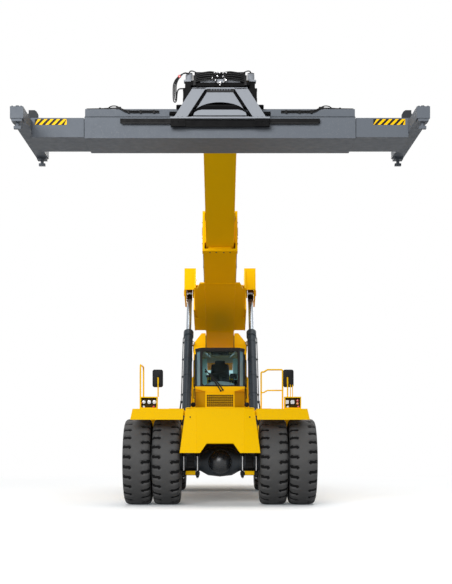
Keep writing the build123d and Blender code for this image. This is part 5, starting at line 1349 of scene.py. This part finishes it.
def add_spreader_parts():
    # diagonal warning stripes on the front faces of the beams' heads
    for side, s in SIDES:
        dark, bright = bmesh.new(), bmesh.new()
        z0, z1 = 6.205, 6.292
        x0, x1 = sorted((s * 2.31, s * 2.79))
        lean, pitch = 0.085, 0.096
        count = int((x1 - x0 + lean) / pitch) + 2
        for front_y, low_y in ((BEAM_HEAD_FRONT, -1), (BEAM_HEAD_FRONT + 0.88, 1)):
            low, high = (front_y - 0.003, front_y + 0.001) if low_y < 0 else (front_y - 0.001,
                                                                              front_y + 0.003)
            put_prism(bright, [(x0, z0), (x1, z0), (x1, z1), (x0, z1)], (low + high) / 2 - 0.0012,
                      (low + high) / 2 + 0.0012, upright(0, 0))
            for i in range(count):
                left = x0 - lean + i * pitch
                points = []
                for x, z in ((left, z0), (left + pitch / 2, z0), (left + pitch / 2 + lean, z1),
                             (left + lean, z1)):
                    points.append((min(max(x, x0), x1), z))
                if points[1][0] - points[0][0] < 0.004 and points[2][0] - points[3][0] < 0.004:
                    continue
                put_prism(dark, points, low, high, upright(0, 0))
        add_piece("warning_stripes_dark_" + side, "spreader_beam_" + side, dark, BLACK)
        add_piece("warning_stripes_yellow_" + side, "spreader_beam_" + side, bright, YELLOW)
        # bolts on the end beams, and the twistlocks' collars
        bolts, dark = bmesh.new(), bmesh.new()
        for y in (-1, 1):
            for x in (2.86, 2.99):
                put_bolt(bolts, (s * x, HEAD.y + y * 1.205, 6.262), UP, 0.012)
            put_lathe(dark, (s * 2.9265, HEAD.y + y * 1.1295, 6.085), UP, [(0, 0.062), (0.012, 0.068),
                                                                              (0.014, 0.05)], 28)
            put_bolt(bolts, (s * 2.9265, HEAD.y + y * 1.1295, 6.262), UP, 0.030, 0.03)
        add_piece("beam_bolts_" + side, "spreader_beam_" + side, bolts, DARK)
        add_piece("twistlock_collars_" + side, "spreader_beam_" + side, dark, CHROME)
    # weld beads along the frame's top box and thin strips beside them, all in black as a painted shadow line
    # under the box's edge
    beads = bmesh.new()
    for y in (HEAD.y - TOP_BOX_HALF, HEAD.y + TOP_BOX_HALF):
        for s in (1, -1):
            put_bar(beads, (s * 0.42, y, 6.322), (s * 2.02, y, 6.322), 0.006, 8)
    for y in (-1, 1):
        put_pair(beads, (0.02, 2.035), (HEAD.y + y * 0.4625, HEAD.y + y * 0.455), (6.3150, 6.3225))
    add_piece("frame_welds_and_shadow_line", "spreader", beads, BLACK_STEEL_AND_SHADE, slot="grey_paint")
    # dark strips along the foot of the side-shift rails
    strips = bmesh.new()
    for y in (-1, 1):
        put_block(strips, (-1.48, 1.48), (HEAD.y + y * 0.505 - 0.005, HEAD.y + y * 0.505 + 0.005),
                  (6.205, 6.222))
    add_piece("rail_strips", "spreader", strips, BLACK, edge=0.002)
    # hoses laid along the front of the top box with their clamps
    clamps = bmesh.new()
    face = HEAD.y - TOP_BOX_HALF
    runs = both_sides([(1.50, face + 0.02, 6.470), (1.55, face + 0.01, 6.505), (1.62, face, 6.510),
                       (1.68, face + 0.01, 6.490), (1.70, face + 0.03, 6.469)])
    for k, z in enumerate((6.405, 6.427)):
        runs += both_sides([(0.92, face - 0.016, z), (1.10, face - 0.016, z + 0.004), (1.30, face - 0.016, z),
                            (1.42, face - 0.018, z + 0.003), (1.50, face - 0.014, 6.455 + 0.012 * k),
                            (1.56, face + 0.015, 6.476 + 0.006 * k), (1.72, face + 0.020, 6.471 + 0.006 * k),
                            (1.90, face + 0.022 + 0.02 * k, 6.470), (2.02, face + 0.03 + 0.02 * k, 6.470)])
    for s in (1, -1):
        for x in (1.00, 1.20, 1.38):
            put_block(clamps, (s * x - 0.014, s * x + 0.014), (face - 0.028, face + 0.002), (6.392, 6.440))
            put_bolt(clamps, (s * x, face - 0.027, 6.416), AHEAD, 0.006, 0.005, washer=False)
    put_pair(clamps, (1.495, 1.57), (face - 0.012, face + 0.045), (6.459, 6.492))
    put_pair(clamps, (1.80, 1.83), (face + 0.005, face + 0.06), (6.459, 6.484))
    add_tubes("frame_hoses", "spreader", HOSE, 0.0080, runs)
    add_piece("frame_hose_clamps", "spreader", clamps, BLACK, edge=0.003)


add_spreader_parts()

# ---------------------------------------------------------------- turret and yoke

FRAME_LEAN = math.radians(18.09)
FRAME_HIGH = HEAD.z - 0.103
FRAME_RUN = 0.557


def on_frame(f, x, down, out):
    """A place on a raked A-frame (f: -1 front, 1 rear): down from its top edge, out from its middle."""
    return Vector((x, HEAD.y + f * (0.350 + out * math.cos(FRAME_LEAN) + down * math.sin(FRAME_LEAN)),
                   FRAME_HIGH + out * math.sin(FRAME_LEAN) - down * math.cos(FRAME_LEAN)))


def add_turret_parts():
    legs, webs, sills = bmesh.new(), bmesh.new(), bmesh.new()
    for f, start in ((-1, 0.020), (1, 0.045)):
        def turn(a, b, h):
            return on_frame(f, a, b, h)

        def leg_x(base, down):
            return base + 0.30 * down / FRAME_RUN
        for s in (1, -1):
            put_prism(legs, [(s * leg_x(0.195, start), start), (s * leg_x(0.400, start), start),
                             (s * leg_x(0.400, FRAME_RUN), FRAME_RUN),
                             (s * leg_x(0.205, FRAME_RUN), FRAME_RUN)], 0.017, 0.030, turn)
        put_prism(legs, [(-0.415, start), (0.415, start), (0.425, start + 0.034), (-0.425, start + 0.034)],
                  0.017, 0.030, turn)
        # web with its arch, and the low plate that shows under the arch; the black turret shows through the
        # arch and in the gap beside each leg as painted shade
        arch = [(0.425 * math.cos(math.radians(a)), 0.535 - 0.255 * math.sin(math.radians(a))) for a in
                range(0, 181, 6)]
        outline = [(-leg_x(0.140, 0.105), 0.105), (leg_x(0.140, 0.105), 0.105),
                   (leg_x(0.140, 0.535), 0.535)] + arch + \
            [(-leg_x(0.140, 0.535), 0.535)]
        half = [(0.0, 0.105)] + [point for point in outline[1:] if point[0] > -0.001]
        for s in (1, -1):
            put_prism(webs, [(s * x, down) for x, down in half], 0.0252, 0.0290, turn)
        plate = [(-0.40, 0.512), (0.40, 0.512), (0.385, 0.462), (0.33, 0.425), (0.27, 0.412), (-0.27, 0.412),
                 (-0.33, 0.425), (-0.385, 0.462)]
        put_prism(webs, plate, 0.026, 0.031, turn)
        put_block(sills, (-0.745, 0.745), (HEAD.y + f * 0.530, HEAD.y + f * 0.582), (6.264, 6.288))
        put_block(sills, (-0.44, 0.44), (HEAD.y + f * 0.530, HEAD.y + f * 0.545), (6.290, 6.302))
    add_piece("frame_legs", "turret", legs, PALE, edge=0.003)
    add_piece("frame_webs", "turret", webs, PALE, edge=0.002)
    add_piece("frame_sills", "turret", sills, PALE, edge=0.003)
    # black valve box across the A-frame with its bolts and centre tab
    box, bolts = bmesh.new(), bmesh.new()
    put_block(box, (-0.200, 0.215), (HEAD.y - 0.412, HEAD.y - 0.360), (6.698, 6.758))
    put_prism(box, [(-0.050, 6.700), (0.072, 6.700), (0.060, 6.674), (-0.040, 6.674)], HEAD.y - 0.410,
              HEAD.y - 0.37, upright(0, 0))
    add_piece("turret_valve_box", "turret", box, BLACK, edge=0.005)
    for i in range(8):
        put_bolt(bolts, (-0.130 + i * 0.040, HEAD.y - 0.411, 6.742), AHEAD, 0.0085, 0.007)
    add_piece("valve_box_bolts", "turret", bolts, GREY, slot="dark_paint")
    # bolts on the sill and the dark shoes
    bolts = bmesh.new()
    for s in (1, -1):
        for i in range(4):
            for y in (HEAD.y - 0.558, HEAD.y + 0.558):
                put_bolt(bolts, (s * (0.50 + i * 0.065), y, 6.287), UP, 0.012)
        for x in (0.545, 0.63, 0.715):
            put_bolt(bolts, (s * x, HEAD.y - 0.569, 6.22), AHEAD, 0.012)
    add_piece("foot_bolts", "turret", bolts, BLACK_STEEL_AND_SHADE, slot="dark_paint")


add_turret_parts()


def add_yoke_parts():
    face = HEAD.y - 0.345
    # cover in front of the boom's nose and the brackets of the motors, then a pale bar and the pale motors
    cover = bmesh.new()
    put_block(cover, (-0.405, 0.405), (face, HEAD.y - 0.275), (HEAD.z - 0.085, HEAD.z + 0.085))
    put_block(cover, (-0.385, 0.385), (face + 0.012, HEAD.y - 0.285), (HEAD.z + 0.085, HEAD.z + 0.136))
    put_pair(cover, (0.430, 0.535), (HEAD.y - 0.20, HEAD.y - 0.125), (HEAD.z - 0.102, HEAD.z + 0.030))
    put_pair(cover, (0.395, 0.445), (HEAD.y - 0.300, HEAD.y - 0.128), (HEAD.z - 0.06, HEAD.z + 0.02))
    add_piece("head_cover", "yoke", cover, BLACK_STEEL_AND_SHADE, edge=0.006, slot="black_plastic")
    pale = bmesh.new()
    put_block(pale, (-0.300, 0.305), (face - 0.014, face - 0.001), (HEAD.z - 0.030, HEAD.z + 0.018))
    for s in (1, -1):
        put_block(pale, (s * 0.418, s * 0.552), (HEAD.y - 0.215, HEAD.y - 0.10),
                  (HEAD.z + 0.028, HEAD.z + 0.056))
        put_lathe(pale, (s * 0.476, HEAD.y, HEAD.z - 0.035), UP,
                  [(0, 0.056), (0.06, 0.056), (0.065, 0.0575), (0.075, 0.0575), (0.08, 0.056), (0.225, 0.056),
                   (0.245, 0.050), (0.2495, 0.036), (0.2496, 0.0)], 40)
    add_piece("head_bar", "yoke", pale, PALE, edge=0.002)
    # hydraulic unions in the middle, and hoses that sweep out of them on both sides
    unions = bmesh.new()
    places = ((-0.085, 0.100), (-0.050, 0.112), (0.0, 0.118), (0.050, 0.108), (0.095, 0.098), (-0.035, 0.062),
              (0.040, 0.058), (-0.110, 0.020), (-0.070, -0.012), (-0.030, -0.034), (0.012, -0.040),
              (0.055, -0.030), (0.092, -0.006), (0.0, -0.068), (0.060, 0.012))
    for i, (x, z) in enumerate(places):
        put_lathe(unions, (x, face - 0.012, HEAD.z + z),
                  (0.25 * math.sin(i * 2.4), -1, 0.25 * math.cos(i * 1.7)),
                  [(0, 0.0125), (0.014, 0.0125), (0.016, 0.0085), (0.032, 0.0085), (0.034, 0.011),
                   (0.046, 0.011), (0.047, 0.0)], 6)
    add_piece("head_unions", "yoke", unions, STEEL)
    # every run is given from the head pin
    front = face - HEAD.y
    runs = both_sides([(0.33, front + 0.02, 0.11), (0.38, front + 0.08, 0.16), (0.44, front + 0.20, 0.215),
                       (0.476, -0.05, 0.225), (0.476, 0.0, 0.208)])
    for k in range(5):
        z = 0.112 - 0.030 * k
        runs += both_sides([(0.05, front - 0.045, z - 0.01), (0.12, front - 0.052, z + 0.012),
                            (0.24, front - 0.040, z + 0.004 * (k % 3)),
                            (0.33 + 0.012 * k, front - 0.030, z - 0.012),
                            (0.392 - 0.006 * k, front - 0.020, z - 0.055),
                            (0.395 - 0.008 * k, front - 0.016, -0.075)])
    for k in range(3):
        out = 0.672 + 0.022 * k
        runs.append([(-0.476, -0.05, 0.19), (-0.52, -0.10, 0.205),
                     (-0.585 - 0.02 * k, -0.12, 0.17 - 0.01 * k),
                     (-out, -0.13, 0.04), (-out - 0.004, -0.13, -0.10 - 0.02 * k),
                     (-out + 0.002, -0.13, -0.200 - 0.03 * k), (-0.668, -0.13, -0.205 - 0.03 * k),
                     (-0.660, -0.12, -0.12), (-0.640, -0.12, -0.055), (-0.56, -0.13, -0.055),
                     (-0.52, -0.14, -0.055)])
    add_tubes("head_hoses", "yoke", HOSE, 0.0095, [[HEAD + Vector(at) for at in run] for run in runs])
    clips = bmesh.new()
    put_lathe(clips, (-0.615, HEAD.y - 0.122, HEAD.z + 0.115), (-0.4, 0.0, 1.0),
              [(0, 0.014), (0.0, 0.022), (0.04, 0.022),
                                                                                (0.04, 0.014)], 20)
    add_piece("hose_clip", "yoke", clips, RED_LENS, slot="black_plastic")


add_yoke_parts()

# ---------------------------------------------------------------- finish

bpy.context.scene.view_settings.view_transform = "Standard"
bpy.context.view_layer.update()
